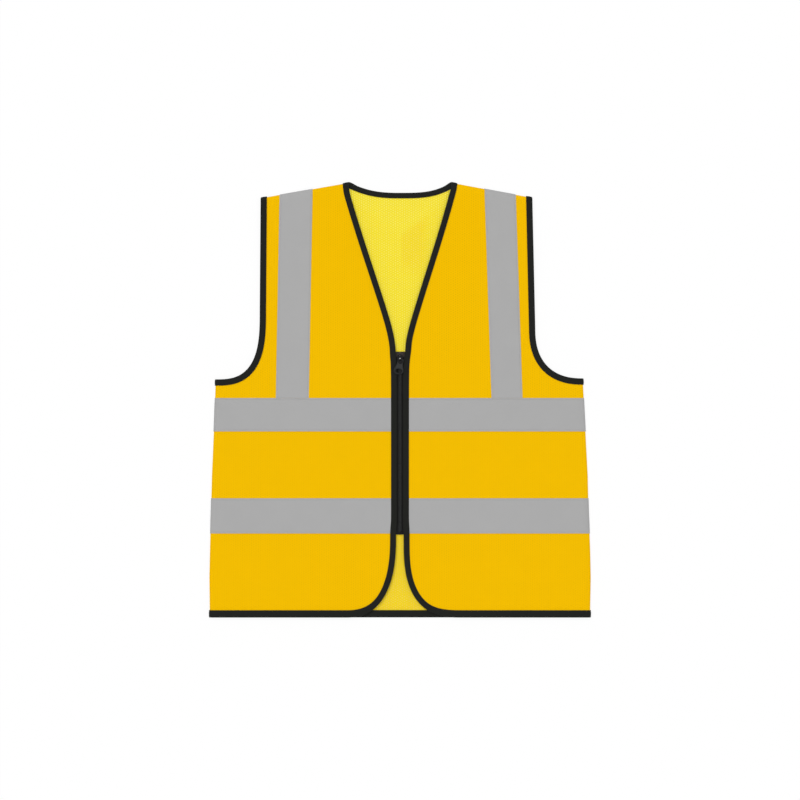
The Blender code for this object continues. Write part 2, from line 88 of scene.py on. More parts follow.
# The stack. Heights are above the middle plane between the front and the back.
MIDDLE = (reach("front_panel_left", Z)[1] + reach("back_panel", Z)[0]) / 2
KNIT = (2.15, 2.75)
TAPE = (3.05, 3.4)
FOLD_OUT = 3.95  # outer face of a folded binding
FOLD_IN = 0.8  # its inner face
FOLD_WALL = 0.42
SEAM_HALF = 0.15
TURN = 4.0  # cloth past the line where it would turn sharply
ROLL = 6.0  # the soft roll starts this far inside that line
ROLL_START = 0.72
NET = 4.6  # spacing of the knit's points
NET_ROW = 0.87  # spacing of their rows, as a share of it
NET_CLEAR = 0.35  # how near the cut edge they come, as a share of it
SEAM_ROWS = (-ROLL, -ROLL + 1.8, -ROLL + 3.4, -1.2, 0.2, 1.5, 2.8)  # their rows past a turning line
SHOULDER_ROWS = 150.0  # how far the rows run along a shoulder
INSIDE, NEARNESS = 1, 1e-4  # the net is cut off at its outline, and points this near are one
SEAM_LEAN = 12.0  # over this distance inside a turning line, a strip comes to follow the seam
COARSE, FINE = 4.0, 1.2  # spacing of a strip's sections, away from the seams and near them
WALK = 0.4  # steps in which that spacing is measured

# Bindings and stitches
BINDING = 8.9
ARM_BINDING = 9.5
NECK_BINDING = 8.3
NECK_TAPER = {LEFT: (71.0, 6.0, 4.2), RIGHT: (67.0, 8.0, 3.4)}  # across, length, depth
HEM_BINDING = 11.0
HEM_GROWTH = (0.3, 0.6)  # where the front binding widens to it: start and length, in corner reaches
HEM_GROWTH_HIGH = (40.0, 20.0)  # it starts to widen below this, and over this height
RAW_EDGE = 1.4  # the knit's cut edge inside its binding
FOLD_CROWN = 0.22
FOLD_DIP = 0.45
FOLD_DIP_HALF = 0.5
FOLD_ROUND = 0.9
FOLD_ACROSS = (1.0, 0.975, 0.93, 0.88, 0.82, 0.76, 0.68, 0.52, 0.34, 0.2)
FOLD_TURNS = (0.0, 22.0, 45.0, 68.0)  # degrees round the folded edge
FOLD_SQUARENESS = 2.6
FOLD_RAW = 0.4  # how far the wall's cut edge is rounded, as a share of it
SEW_IN = 1.6  # stitches from a binding's inner edge
TAPE_SEW_IN = 2.2
TAPE_DIP, TAPE_DIP_HALF = 0.12, 0.6  # how stitches press a tape's face
TAPE_ACROSS = (0.0, 0.25, 1.2, TAPE_SEW_IN - 0.5, TAPE_SEW_IN, TAPE_SEW_IN + 0.6, 4.5, 9.0)
TAPE_CORNER = 0.1
STITCH, STITCH_GAP = 2.7, 0.55
STITCH_SHAPE = ((0.0, 0.35), (0.13, 1.0), (0.87, 1.0), (1.0, 0.35))  # share of its length, size
STITCH_LIFT = 0.3  # a stitch's upward direction is taken from its foot to this far above it
THREAD_HALF = (0.24, 0.17)
THREAD_SIDES = 6
THREAD_PROUD = THREAD_HALF[1] * 0.5  # a stitch's centre, above the cloth that it presses

# Side seams, shoulders, armholes, front edges and back neck, as they are cut
SIDE_SEAM = (  # height, left, right
    (0.0, 282.7, 282.5),
    (60.0, 283.4, 283.6),
    (100.0, 282.5, 282.8),
    (165.0, 280.7, 280.1),
    (212.0, 279.6, 279.1),
    (290.0, 276.2, 275.0),
    (359.0, 273.7, 271.5),
)
SHOULDER = {LEFT: ((75.8, 649.8), (208.8, 626.6)), RIGHT: ((75.8, 650.0), (198.3, 627.2))}
ARM_TOP = {LEFT: 209.2, RIGHT: 198.7}
ARM_STRAIGHT_END = {LEFT: (210.5, 460.0), RIGHT: (203.0, 435.0)}
UNDERARM = {LEFT: 357.5, RIGHT: 359.0}
ARM_SQUARENESS = {LEFT: 2.95, RIGHT: 2.45}
ZIP_EDGE = 4.5
V_START = {LEFT: 416.0, RIGHT: 409.5}
V_SLOPE = {LEFT: 0.329, RIGHT: 0.315}
V_SOFTNESS = 16.0
V_EASE = {  # heights above which the V straightens, and how strongly
    LEFT: ((545.0, 0.0002), (632.0, 0.0075)),
    RIGHT: ((550.0, 0.00023), (640.0, 0.011)),
}
V_BUMP = {LEFT: (394.0, 8.0, 0.45), RIGHT: (400.0, 12.0, 0.95)}  # easing out over the zip's top
CORNER = {LEFT: (120.0, 74.0, 2.4), RIGHT: (112.5, 86.0, 2.65)}  # height, reach, squareness
GAPE = {LEFT: 1.4, RIGHT: 1.0}  # how far the edges stand apart below the zip
GAPE_SPAN = (125.0, 150.0)
NECK_LOW, NECK_DEPTH = 637.6, 15.0
NECK_SIDES = {LEFT: (74.0, 2.6), RIGHT: (75.2, 3.3)}  # half width, squareness
CURVE_STEPS = 60

# Reflective tape: inner edge at the band, inner edge at the shoulder, width
BRACES = {LEFT: (137.0, 131.1, 49.2), RIGHT: (137.3, 126.6, 46.4)}
TAPE_CLEAR = 0.15
TAPE_TUCK = 3.0  # a band's end goes this far into the front binding's fold

# Soft creases pressed in from folding: centre, direction in degrees, half length, half width, height
CREASES = {
    FRONT: (
        (-98, 520, 72, 62, 15, 0.55),
        (-168, 402, 38, 40, 12, 0.7),
        (-62, 452, 110, 46, 13, 0.4),
        (118, 486, 104, 70, 17, 0.5),
        (176, 398, 148, 44, 13, 0.7),
        (66, 430, 65, 34, 12, 0.35),
        (-150, 236, 4, 86, 15, 0.45),
        (-210, 208, 24, 44, 12, 0.55),
        (96, 226, -7, 90, 14, 0.5),
        (218, 246, 160, 40, 12, 0.5),
        (-186, 66, 17, 70, 18, 0.6),
        (-92, 88, -28, 44, 13, 0.45),
        (150, 62, -10, 80, 17, 0.55),
        (232, 96, 38, 36, 13, 0.5),
        (-172, 560, 88, 60, 9, 0.3),
        (158, 575, 92, 50, 9, 0.3),
    ),
    BACK: (
        (-22, 592, 142, 26, 7, 0.45),
        (24, 594, 36, 28, 7, 0.5),
        (1, 545, 91, 30, 6, 0.45),
        (-160, 470, 60, 60, 16, 0.4),
        (150, 420, 120, 60, 16, 0.4),
    ),
}
CREASE_EASE = 34.0  # creases fade over this distance from the zip and the seams
ZIP_STIFF = 17.0

# Zip
ZIP_LOW, ZIP_HIGH = reach("zip_tape_left", Y)
ZIP_CLOTH = (-0.5, 0.1)  # heights of the zip's woven tapes
ZIP_CLOTH_EDGES = (0.08, 14.4)
ZIP_CLOTH_NET = (6, 120)  # its divisions across and along
CHAIN_LOW, CHAIN_HIGH = reach("zip_chain", Y)
COIL_PITCH = 1.5
COIL_WIRE = 0.34
COIL_INNER, COIL_OUTER = -0.42, 2.9
COIL_FLOORS = (4.95, 6.4)  # the wire's centre, lowest and highest
COIL_SQUARENESS = 2.7
COIL_STEPS = 12
COIL_START = {LEFT: 0.25, RIGHT: 0.75}  # in pitches, so that the coils mesh
COIL_HEAD = 0.22  # how much thicker the wire is where the coils meet
COIL_SEAMS = (0.95, 2.2)  # the sewing rows that hold a coil
SEAM_THREAD, SEAM_SUNK, SEAM_WAVE = 0.17, 0.12, 0.14  # radius, depth in the wire, rise and fall
SEAM_END = 0.5  # a sewing row's ends are this far inside the chain's
COIL_SIDES, SEAM_SIDES, BAIL_SIDES, BEAD_SIDES, BAR_SIDES = 6, 5, 12, 8, 14  # faces round each
SLIDER_LOW, SLIDER_HIGH = reach("zip_slider", Y)
SLIDER_HALF = reach("zip_slider", X)[1]
SLIDER_SHAPE = (  # share of the half width, share of the length
    (0.66, 0.0),
    (0.85, 0.07),
    (0.9, 0.3),
    (1.0, 0.66),
    (0.93, 0.86),
    (0.56, 1.0),
)
SLIDER_WINGS = (  # how far inside the outline, heights, rounding
    (0.0, (7.1, 8.2), 0.3),
    (0.9, (7.7, 8.48), 0.2),
    (0.3, (2.6, 3.2), 0.2),
)
POST_SPAN = (7.2, 11.4)
SLIDER_BLOCKS = (  # the post and both flanges: across, along, heights, rounding
    ((-0.75, 0.75), POST_SPAN, (3.0, 7.4), 0.05),
    ((-3.95, -3.55), (0.9, 6.9), (4.8, 7.4), 0.1),
    ((3.55, 3.95), (0.9, 6.9), (4.8, 7.4), 0.1),
)
BAIL_RADIUS = 1.8
BAIL_LEG = (-2.0, -0.9)  # heights of its sections, from the bar
BAIL_HALF = (1.0, 0.48)
BAIL_SQUARENESS = 4.0
BAIL_TURN = 15  # degrees between the hoop's sections
BAIL_RUBBED = 8  # sections at its upper end that the pull tab has rubbed bright
TAPE_SPREAD = 1.1  # where the zip's tapes part for the slider's post
TAPE_PARTING = 1.6
STOP_ROUND = 0.45

# Pull tab, measured down from its cross bar
HINGE = next(joint for joint in frame["joints"] if joint["name"] == "pull_hinge")
TAB_HALF = 0.46
TAB_ROUND = 0.12
TAB_HEAD = 0.8
TAB_SLIDE = 1.2  # the tab has slipped this far along its bar
TAB_NECK = (4.8, 4.5, 5.0)  # half width at the bar, at the waist, and how far down the waist is
TAB_WINDOW = ((1.6, 6.5), (3.5, 4.2), (3.6, 0.5))  # half width, distance down
RING_AT = 17.4
RING_OUTER = (7.4, 5.5)
RING_HOLE = (4.7, 3.0)
TAB_STEPS = 18  # points of the outline from the bar to the ring
RING_TURN, RING_HOLE_TURN = 8, 9  # degrees between the points round it and round its hole
BEAD = 0.68
BAR_RADIUS = 0.78
BAR_HALF = 4.3
BAR_END, BAR_END_SHARE = 0.3, 0.7  # its narrower ends

# Colours, as linear values
GOLD = (0.925, 0.52, 0.0007)
GOLD_DARK = (0.79, 0.445, 0.0011)
LEMON = (1.0, 0.858, 0.053)
# On the inner face this is also the painted shade on the wales between holes
LEMON_DARK = (0.86, 0.653, 0.023)
# Painted light: the inner face drawn paler under the back neck, where light falls
LEMON_PAINTED_LIGHT = (1.0, 0.884, 0.071)
# Painted shade: the inner face drawn deeper beside a soft fold under the neck
LEMON_FOLD_SHADE = (0.975, 0.745, 0.03)
# Painted shade: the inner face drawn darker in the narrow gap between the fronts below the zip
LEMON_LOW_SHADE = (0.95, 0.655, 0.018)
TAPE_GREY = (0.399, 0.398, 0.398)
BINDING_BLACK = (0.0092, 0.0097, 0.0080)
ZIP_BLACK = (0.0125, 0.012, 0.0118)
ZIP_RUBBED = (0.046, 0.037, 0.032)
THREAD_BLACK = (0.006, 0.006, 0.0058)
THREAD_GREY = (0.36, 0.36, 0.355)
NYLON = (0.0135, 0.014, 0.0135)
ENAMEL = (0.003, 0.003, 0.0032)
TAB_ENAMEL = (0.021, 0.0215, 0.0215)
STOP_METAL = (0.04, 0.033, 0.029)
WORN_METAL = (0.45, 0.45, 0.44)
WHITE = (1.0, 1.0, 1.0)

# Knit: staggered columns of small holes
HOLE_ACROSS, HOLE_ALONG = 3.4, 3.66
HOLE_RADIUS = {FRONT: 0.46, BACK: 0.3}
HOLE_SHIFT = {FRONT: 0.0, BACK: 0.5}  # the back's columns of holes lie between the front's
OPENNESS = {FRONT: 0.3, BACK: 0.95}  # how clear a hole is; yarns fray across it
# Frayed yarn across a hole, coloured a darker gold: partly painted shade for the shaded cloth seen through
# it
FRAYED_AND_HOLE_SHADE = (0.9, 0.6, 0.018)
PAINTED_HALO_REACH = 1.9
HOLE_SOFT, HOLE_RIM = 0.1, 0.7  # a hole's blurred edge and sunken rim
WALES, LOOPS = 4, 5  # to each hole's spacing, across and along
KNIT_TONE = 0.62  # how light the yarn is between holes
# Painted light round each hole and painted shade on the wales between, on the inner face only
GOLD_PAINTED_HALO, LEMON_PAINTED_HALO = 0.0, 0.95

# Where light and shade are painted on the inner face, in cut millimetres
NECK_PAINTED_LIGHT = (575.0, 0.72)  # height at the centre, and its rise towards the sides
NECK_PAINTED_LIGHT_SPAN = (-9.0, 8.0)
# Painted shade beside a fold under the neck
FOLD_SHADE_SPANS = ((-1.0, 5.0), (28.0, 48.0), (505.0, 545.0))  # begins and ends across, begins upwards
# Painted shade below the zip fades out over these heights
LOW_SHADE_SPAN = (120.0, 150.0)
RUBBED_SPAN = (SLIDER_HIGH - 4.0, SLIDER_HIGH - 1.0)  # above this the zip's cloth is rubbed pale

# Studio
FLOOR_HALF = 8.0  # metres
FLOOR_GLOW = 0.88
AMBIENT = 0.42
LAMPS = (  # name, azimuth it comes from, elevation, level on the flat, softness in degrees
    ("key", 125.0, 62.0, 0.34, 40.0),
    ("fill", -40.0, 72.0, 0.24, 60.0),
)
LAMP_AWAY = 3.0
CAMERA_HEIGHT = 6.0
VIEW_WIDTH = 1.2
SENSOR = 36.0


# ---------------------------------------------------------------- materials

def sums(operation, flipped=False):
    """A method of Value that adds a Math node, with the value last if it is flipped."""
    def method(value, *others):
        terms = (*others, value) if flipped else (value, *others)
        return value.nodes.node("ShaderNodeMath", {"operation": operation}, enumerate(terms))

    return method


class Value:
    """A number that changes over a surface. Sums on it add Math nodes to its tree."""

    def __init__(self, nodes, socket):
        self.nodes = nodes
        self.socket = socket

    __add__, __radd__ = sums("ADD"), sums("ADD", flipped=True)
    __sub__, __rsub__ = sums("SUBTRACT"), sums("SUBTRACT", flipped=True)
    __mul__, __rmul__ = sums("MULTIPLY"), sums("MULTIPLY", flipped=True)
    __truediv__, __abs__ = sums("DIVIDE"), sums("ABSOLUTE")
    floor, part, root, cosine, highest = map(sums, ("FLOOR", "FRACT", "SQRT", "COSINE", "MAXIMUM"))

    def wave(self, period):
        """A wave from -1 to 1 with this period."""
        return (self * (2 * math.pi / period)).cosine()

    def rise(self, low, high):
        """0 below low and 1 above high, smooth between."""
        inputs = {"Value": self, "From Min": low, "From Max": high}
        return self.nodes.node("ShaderNodeMapRange", {"interpolation_type": "SMOOTHSTEP"}, inputs)


class Nodes:
    """Adds nodes to a tree, by their type, settings and the values or links of their sockets."""

    def __init__(self, tree):
        self.tree = tree

    def make(self, kind, settings, inputs):
        made = self.tree.nodes.new(kind)
        for setting, value in settings.items():
            setattr(made, setting, value)
        for socket, value in dict(inputs).items():
            self.feed(made.inputs[socket], value)
        return made

    def node(self, kind, settings, inputs, output=0):
        return Value(self, self.make(kind, settings, inputs).outputs[output])

    def feed(self, socket, value):
        if isinstance(value, Value):
            self.tree.links.new(value.socket, socket)
        elif socket.type == "RGBA":
            socket.default_value = (*value, 1.0)
        else:
            socket.default_value = value

    def seen_directly(self):
        """1 for what the camera sees straight, in a gloss or through something clear."""
        rays = [self.node("ShaderNodeLightPath", {}, {}, name)
                for name in ("Is Camera Ray", "Is Glossy Ray", "Is Transmission Ray")]
        return rays[0].highest(rays[1]).highest(rays[2])


class Finish(Nodes):
    """A node material that ends in its Principled shader."""

    def __init__(self, name, **constants):
        self.material = bpy.data.materials.new(name)
        self.material.use_nodes = True
        super().__init__(self.material.node_tree)
        self.shader = self.tree.nodes["Principled BSDF"]
        self.paint(**constants)

    def paint(self, **values):
        """Feed the Principled shader's inputs, named in small letters."""
        for words, value in values.items():
            name = words.replace("_", " ").title().replace("Ior", "IOR")
            self.feed(self.shader.inputs[name], value)
        return self.material

    def cut_point(self):
        """Across and along the cut piece, in millimetres."""
        place = self.node("ShaderNodeUVMap", {"uv_map": "cut"}, {})
        inputs = {"Vector": place, "Scale": 1 / MM}
        scaled = self.node("ShaderNodeVectorMath", {"operation": "SCALE"}, inputs)
        return [self.node("ShaderNodeSeparateXYZ", {}, {"Vector": scaled}, axis) for axis in (X, Y)]

    def noise(self, size, detail=2.0, roughness=0.5):
        """Smooth noise from 0 to 1 with features of about this size, in millimetres."""
        place = self.node("ShaderNodeTexCoord", {}, {}, "Object")
        inputs = {"Vector": place, "Scale": 1 / (size * MM), "Detail": detail, "Roughness": roughness}
        return self.node("ShaderNodeTexNoise", {}, inputs)

    def mix(self, share, first, second):
        """A colour between two."""
        return self.node("ShaderNodeMix", {"data_type": "RGBA"}, {0: share, 6: first, 7: second}, 2)

    def bump(self, height, distance, strength):
        """The normal of a relief whose full height is this distance, in millimetres."""
        inputs = {"Height": height, "Distance": distance * MM, "Strength": strength}
        return self.node("ShaderNodeBump", {}, inputs)


def shade(colour, factor):
    return tuple(channel * factor for channel in colour)


def knit_holes(layer, across, along):
    """Distance from the nearest hole's centre: neighbouring columns are half a pitch apart."""
    column = across / HOLE_ACROSS + HOLE_SHIFT[layer]
    stagger = (column.floor() * 0.5).part()
    aside = (column.part() - 0.5) * HOLE_ACROSS
    above = ((along / HOLE_ALONG + stagger).part() - 0.5) * HOLE_ALONG
    return (aside * aside + above * above).root()


def knit_finish(name, yarn_colour, dark, painted_halo, layer):
    """Warp-knit mesh: wales of fine loops with a small hole at every crossing.

    The painted halo is how much lighter the thin cloth round a hole is painted than the thick wales between
    holes: painted light round each hole and painted shade on the wales.
    """
    finish = Finish(name, roughness=0.85, specular_ior_level=0.0)
    across, along = finish.cut_point()
    distance = knit_holes(layer, across, along)
    radius = HOLE_RADIUS[layer]
    cloth = distance.rise(radius - HOLE_SOFT, radius + HOLE_SOFT)
    rim = distance.rise(radius, radius + HOLE_RIM)
    wales = across.wave(HOLE_ACROSS / WALES)
    loops = (along + wales * 0.12).wave(HOLE_ALONG / LOOPS)
    relief = rim * 0.6 + wales * 0.12 + loops * 0.1
    tone = finish.noise(24.0, 3.0) * 0.16 + finish.noise(1.1) * 0.3 + wales * loops * 0.12
    # Painted light near each hole, painted shade farther off
    spread = 1 - distance.rise(radius, PAINTED_HALO_REACH)
    tone = tone + spread * painted_halo + KNIT_TONE * (1 - painted_halo)
    yarn = finish.mix(tone, dark, yarn_colour(finish, across, along))
    return finish.paint(
        # A hole shows frayed yarn whose colour is partly painted shade
        base_color=finish.mix(cloth, FRAYED_AND_HOLE_SHADE, yarn),
        alpha=1 - (1 - cloth) * OPENNESS[layer],
        normal=finish.bump(relief, 0.16, 0.6),
    )


def gold_yarn(finish, across, along):
    """The outer face's colour."""
    return finish.mix(finish.noise(60.0) * 0.5, GOLD, shade(GOLD, 1.02))


def lemon_yarn(finish, across, along):
    """The inner face's colour, with painted light under the neck and painted shade beside a fold and below
    the zip.
    """
    centre_height, slope = NECK_PAINTED_LIGHT
    # Painted light: paler above a line under the neck
    light = (along - (centre_height + abs(across) * slope)).rise(*NECK_PAINTED_LIGHT_SPAN)
    begins, ends, upwards = FOLD_SHADE_SPANS
    # Painted shade beside the fold under the neck; pressed marks where it lies
    pressed = across.rise(*begins) * (1 - across.rise(*ends)) * along.rise(*upwards)
    plain = finish.mix(pressed * (1 - light) * 0.8, LEMON, LEMON_FOLD_SHADE)
    # Painted shade in the gap below the zip
    low = 1 - along.rise(*LOW_SHADE_SPAN)
    return finish.mix(low, finish.mix(light * 0.75, plain, LEMON_PAINTED_LIGHT), LEMON_LOW_SHADE)


def tape_finish():
    """Silver-grey glass-bead tape on a fine woven backing."""
    finish = Finish("reflective_tape", roughness=0.5, specular_ior_level=0.12)
    across, along = finish.cut_point()
    weave = across.wave(0.5) * along.wave(0.5)
    beads = finish.noise(0.35, 1.0)
    cloudy = finish.noise(34.0, 3.0, 0.6)
    tone = beads * 0.25 + cloudy * 0.6 + weave * 0.05
    return finish.paint(
        base_color=finish.mix(tone, shade(TAPE_GREY, 0.95), shade(TAPE_GREY, 1.06)),
        roughness=0.42 + cloudy * 0.16,
        normal=finish.bump(weave * 0.3 + beads * 0.5, 0.05, 0.5),
    )


def rib_finish(name, colour, period, slant, rubbed=None):
    """Fine ribs: slanted for twill tape, level for woven zip cloth, whose upper end is rubbed pale."""
    constants = {"roughness": 0.8, "specular_ior_level": 0.12, "sheen_weight": 0.04, "sheen_roughness": 0.5}
    finish = Finish(name, **constants)
    across, along = finish.cut_point()
    ribs = (along + across * slant).wave(period)
    yarns = (across - along * slant).wave(period * 0.8)
    fuzz = finish.noise(0.5)
    worn = finish.noise(18.0, 3.0)
    tone = 0.35 + ribs * 0.2 + yarns * 0.08 + fuzz * 0.2 + worn * 0.2
    dark, pale = shade(colour, 0.72), shade(colour, 1.35)
    if rubbed:
        bare = along.rise(*RUBBED_SPAN)
        dark = finish.mix(bare, dark, shade(rubbed, 0.8))
        pale = finish.mix(bare, pale, shade(rubbed, 1.2))
    return finish.paint(
        base_color=finish.mix(tone, dark, pale),
        normal=finish.bump(ribs * 0.5 + yarns * 0.25 + fuzz * 0.3, 0.12, 0.7),
    )


def thread_finish(name, colour):
    """Twisted sewing thread."""
    finish = Finish(name, roughness=0.6, specular_ior_level=0.2)
    around, along = finish.cut_point()
    twist = (along + around).wave(0.55)
    return finish.paint(
        base_color=finish.mix(twist * 0.3 + 0.5, shade(colour, 0.8), shade(colour, 1.2)),
        normal=finish.bump(twist, 0.05, 0.6),
    )


def nylon_finish():
    """Satin black nylon wire."""
    finish = Finish("coil_nylon", roughness=0.38, specular_ior_level=0.4)
    scuffs = finish.noise(1.5, 3.0)
    return finish.paint(
        base_color=finish.mix(scuffs, shade(NYLON, 0.7), shade(NYLON, 1.5)),
        roughness=0.3 + scuffs * 0.2,
        normal=finish.bump(scuffs, 0.03, 0.3),
    )


def enamel_finish(name, colour, metallic):
    """Enamel on die-cast zinc, a little worn and pebbled."""
    finish = Finish(name, roughness=0.4, metallic=metallic, specular_ior_level=0.12)
    pebbles = finish.noise(0.6, 2.0)
    wear = finish.noise(3.5, 4.0, 0.65).rise(0.5, 0.8)
    return finish.paint(
        base_color=finish.mix(wear, colour, shade(colour, 1.7)),
        roughness=0.34 + pebbles * 0.18,
        normal=finish.bump(pebbles, 0.03, 0.4),
    )


# ---------------------------------------------------------------- the stack

def side_axis(side, y):
    """Distance from the centre line at which the cloth would turn sharply at the side seam."""
    column = 1 if side == LEFT else 2
    for low, high in zip(SIDE_SEAM, SIDE_SEAM[1:]):
        if y <= high[0] or high is SIDE_SEAM[-1]:
            share = (y - low[0]) / (high[0] - low[0])
            return low[column] + share * (high[column] - low[column])


def shoulder_axis(side):
    """Neck end, direction towards the arm, and outward normal of a shoulder's turning line."""
    neck, arm = (Vector((side * x, y)) for x, y in SHOULDER[side])
    along = (arm - neck).normalized()
    return neck, along, Vector((-side * along.y, side * along.x))


def past_side(point):
    """How far a cut point is past the side seam's turning line."""
    side = side_of(point)
    if point[Y] > UNDERARM[side] + TURN:
        return -math.inf
    return abs(point[X]) - side_axis(side, point[Y])


def past_shoulder(point):
    neck, _, outward = shoulder_axis(side_of(point))
    return (Vector(point) - neck).dot(outward)


def past_seams(point):
    return max(past_side(point), past_shoulder(point))


def seam_point(side, y, past=TURN):
    """The cut point at this height and this far past the side seam's turning line."""
    return Vector((side * (side_axis(side, y) + past), y))


def side_of(point):
    return LEFT if point[X] < 0 else RIGHT


def ease(share):
    share = min(max(share, 0.0), 1.0)
    return share * share * (3 - 2 * share)


def heading(degrees):
    return math.cos(math.radians(degrees)), math.sin(math.radians(degrees))


def crease_rise(layer, point):
    """Height of the soft creases at a cut point."""
    fade = ease(-(past_seams(point) + ROLL) / CREASE_EASE)
    if layer == FRONT:
        fade *= ease((abs(point[X]) - ZIP_STIFF) / CREASE_EASE)
    if fade == 0.0:
        return 0.0
    rise = 0.0
    for x, y, turn, half_length, half_width, height in CREASES[layer]:
        away, way = Vector((point[X] - x, point[Y] - y)), Vector(heading(turn))
        along = away.dot(way) / half_length
        across = (away.x * way.y - away.y * way.x) / half_width
        rise += height * math.exp(-along ** 2 - across ** 2)
    return rise * fade


def rolled(past, height):
    """Distance past the start of the roll, and height, of cloth that rolls down to the seam."""
    share = min(past / (ROLL + TURN), 1.0)
    turn = (ROLL_START * share + (1 - ROLL_START) * share * share) * math.acos(SEAM_HALF / height)
    return (ROLL + height) * math.sin(turn), height * math.cos(turn)


def lay(point, height, layer):
    """Place a cut point on the stack, in metres."""
    x, y = point
    side, shoulder = past_side(point) + ROLL, past_shoulder(point) + ROLL
    level = height
    if side > 0:
        out, level = rolled(side, height)
        x = side_of(point) * (abs(x) - side + out)
    elif shoulder > 0:
        out, level = rolled(shoulder, height)
        _, _, outward = shoulder_axis(side_of(point))
        x += outward.x * (out - shoulder)
        y += outward.y * (out - shoulder)
    return place(x, y, MIDDLE + layer * level + crease_rise(layer, point))


def place(x, y, floor):
    """A point in metres, from millimetres across, up from the hem and above the floor."""
    return Vector((x, y + HEM, floor)) * MM


# ---------------------------------------------------------------- mesh making

class Shape:
    """A mesh in the making: points with their place on the cut, and faces with a finish number."""

    def __init__(self):
        self.points, self.cut, self.faces, self.finish = [], [], [], []

    def add(self, point, cut):
        self.points.append(point)
        self.cut.append(cut)
        return len(self.points) - 1

    def face(self, corners, finish=0):
        self.faces.append(corners)
        self.finish.append(finish)

    def sweep(self, rings, finish=0, closed=False):
        """Join rings of (point, cut place) in order, and the last to the first or with end caps."""
        rows = [[self.add(*corner) for corner in ring] for ring in rings]
        for row, following in zip(rows, rows[1:] + (rows[:1] if closed else [])):
            for i, corner in enumerate(row):
                j = (i + 1) % len(row)
                self.face((corner, row[j], following[j], following[i]), finish)
        if not closed:
            self.face(tuple(reversed(rows[0])), finish)
            self.face(tuple(rows[-1]), finish)

    def build(self, name, materials, sharp=50.0):
        mesh = bpy.data.meshes.new(name)
        mesh.from_pydata(self.points, [], self.faces)
        layer = mesh.uv_layers.new(name="cut")
        for loop in mesh.loops:
            across, along = self.cut[loop.vertex_index]
            layer.data[loop.index].uv = (across * MM, along * MM)
        mesh.polygons.foreach_set("material_index", self.finish)
        for material in materials:
            mesh.materials.append(material)
        mesh.validate()
        outward(mesh)
        mesh.shade_smooth()
        mesh.set_sharp_from_angle(angle=math.radians(sharp))
        return linked(name, mesh)


def outward(mesh):
    """Turn every face outwards."""
    bm = bmesh.new()
    bm.from_mesh(mesh)
    bmesh.ops.recalc_face_normals(bm, faces=bm.faces)
    bm.to_mesh(mesh)
    bm.free()


def ring_round(centre, aside, up, halves, sides, along, squareness=2.0, start=0.0):
    """A ring of (point, cut place), round or squarish, with these half sizes in millimetres."""
    ring = []
    for k in range(sides):
        across, rise = squarish(2 * math.pi * (k + start) / sides, squareness)
        offset = aside * across * halves[0] + up * rise * halves[1]
        ring.append((centre + offset * MM, (k / sides, along)))
    return ring


def linked(name, data):
    piece = bpy.data.objects.new(name, data)
    bpy.context.scene.collection.objects.link(piece)
    return piece


def finished(piece, body, slot, *nodes):
    """Parent a piece to the empty of the body that it rides on, and hide the nodes that it stands for. Its
    slot is not used.
    """
    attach(piece, body)
    if nodes:
        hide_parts(*nodes)
    return piece


# ---------------------------------------------------------------- cut lines

def squarish(turn, squareness):
    """A point on a unit circle that is pressed towards a square."""
    power = 2.0 / squareness
    across, up = math.cos(turn), math.sin(turn)
    return math.copysign(abs(across) ** power, across), math.copysign(abs(up) ** power, up)


def quarter(squareness):
    """Points round a quarter turn, from upright to level."""
    return [squarish(math.pi / 2 * (1 - step / CURVE_STEPS), squareness) for step in range(CURVE_STEPS)]


def zip_edge(side, y):
    low, high = GAPE_SPAN
    return ZIP_EDGE + GAPE[side] * ease((high - y) / (high - low))


def v_edge(side, y):
    ramp = math.log1p(math.exp((y - V_START[side]) / V_SOFTNESS)) * V_SOFTNESS
    straightened = sum(strength * max(0.0, y - start) ** 2 for start, strength in V_EASE[side])
    height, spread, out = V_BUMP[side]
    bump = out * math.exp(-((y - height) / spread) ** 2)
    return zip_edge(side, y) + V_SLOPE[side] * ramp - straightened + bump


def spaced(line):
    """Points along a line at an even spacing, closer near the seams, with both ends."""
    points = [line[0]]
    gone = 0.0
    for start, end in zip(line, line[1:]):
        length = (end - start).length
        pieces = max(1, math.ceil(length / WALK))
        for i in range(1, pieces + 1):
            point = start.lerp(end, i / pieces)
            gone += length / pieces
            near = past_seams(point) > -ROLL - FINE
            if gone >= (FINE if near else COARSE):
                points.append(point)
                gone = 0.0
    if (points[-1] - line[-1]).length < FINE / 2:
        points.pop()
    return points + [line[-1]]


def to_shoulder(line_at, low):
    """Points of a rising line from a height until its cloth has turned over the shoulder."""
    points = [line_at(low)]
    while past_shoulder(points[-1]) < TURN:
        points.append(line_at(points[-1].y + 1.0))
    before, last = points[-2:]
    share = (TURN - past_shoulder(before)) / (past_shoulder(last) - past_shoulder(before))
    points[-1] = before.lerp(last, share)
    return points


def front_line(side):
    """Finished front edge: hem from the side seam, lower corner, zip edge, V and shoulder."""
    height, across_reach, squareness = CORNER[side]
    line = [seam_point(side, 0.0)]
    for across, up in quarter(squareness):
        y = height * (1 - up)
        line.append(Vector((side * (zip_edge(side, y) + across_reach * (1 - across)), y)))
    return line + to_shoulder(lambda y: Vector((side * v_edge(side, y), y)), height)


def arm_line(side):
    """Finished armhole from the side seam under the arm to the shoulder."""
    straight_x, straight_y = ARM_STRAIGHT_END[side]
    across_reach = side_axis(side, UNDERARM[side]) + TURN - straight_x
    line = []
    for across, down in quarter(ARM_SQUARENESS[side]):
        x = straight_x + across_reach * (1 - across)
        line.append(Vector((side * x, straight_y - (straight_y - UNDERARM[side]) * down)))
    slope = (ARM_TOP[side] - straight_x) / (SHOULDER[side][1][1] - straight_y)

    def straight(y):
        return Vector((side * (straight_x + slope * (y - straight_y)), y))

    return line + to_shoulder(straight, straight_y)


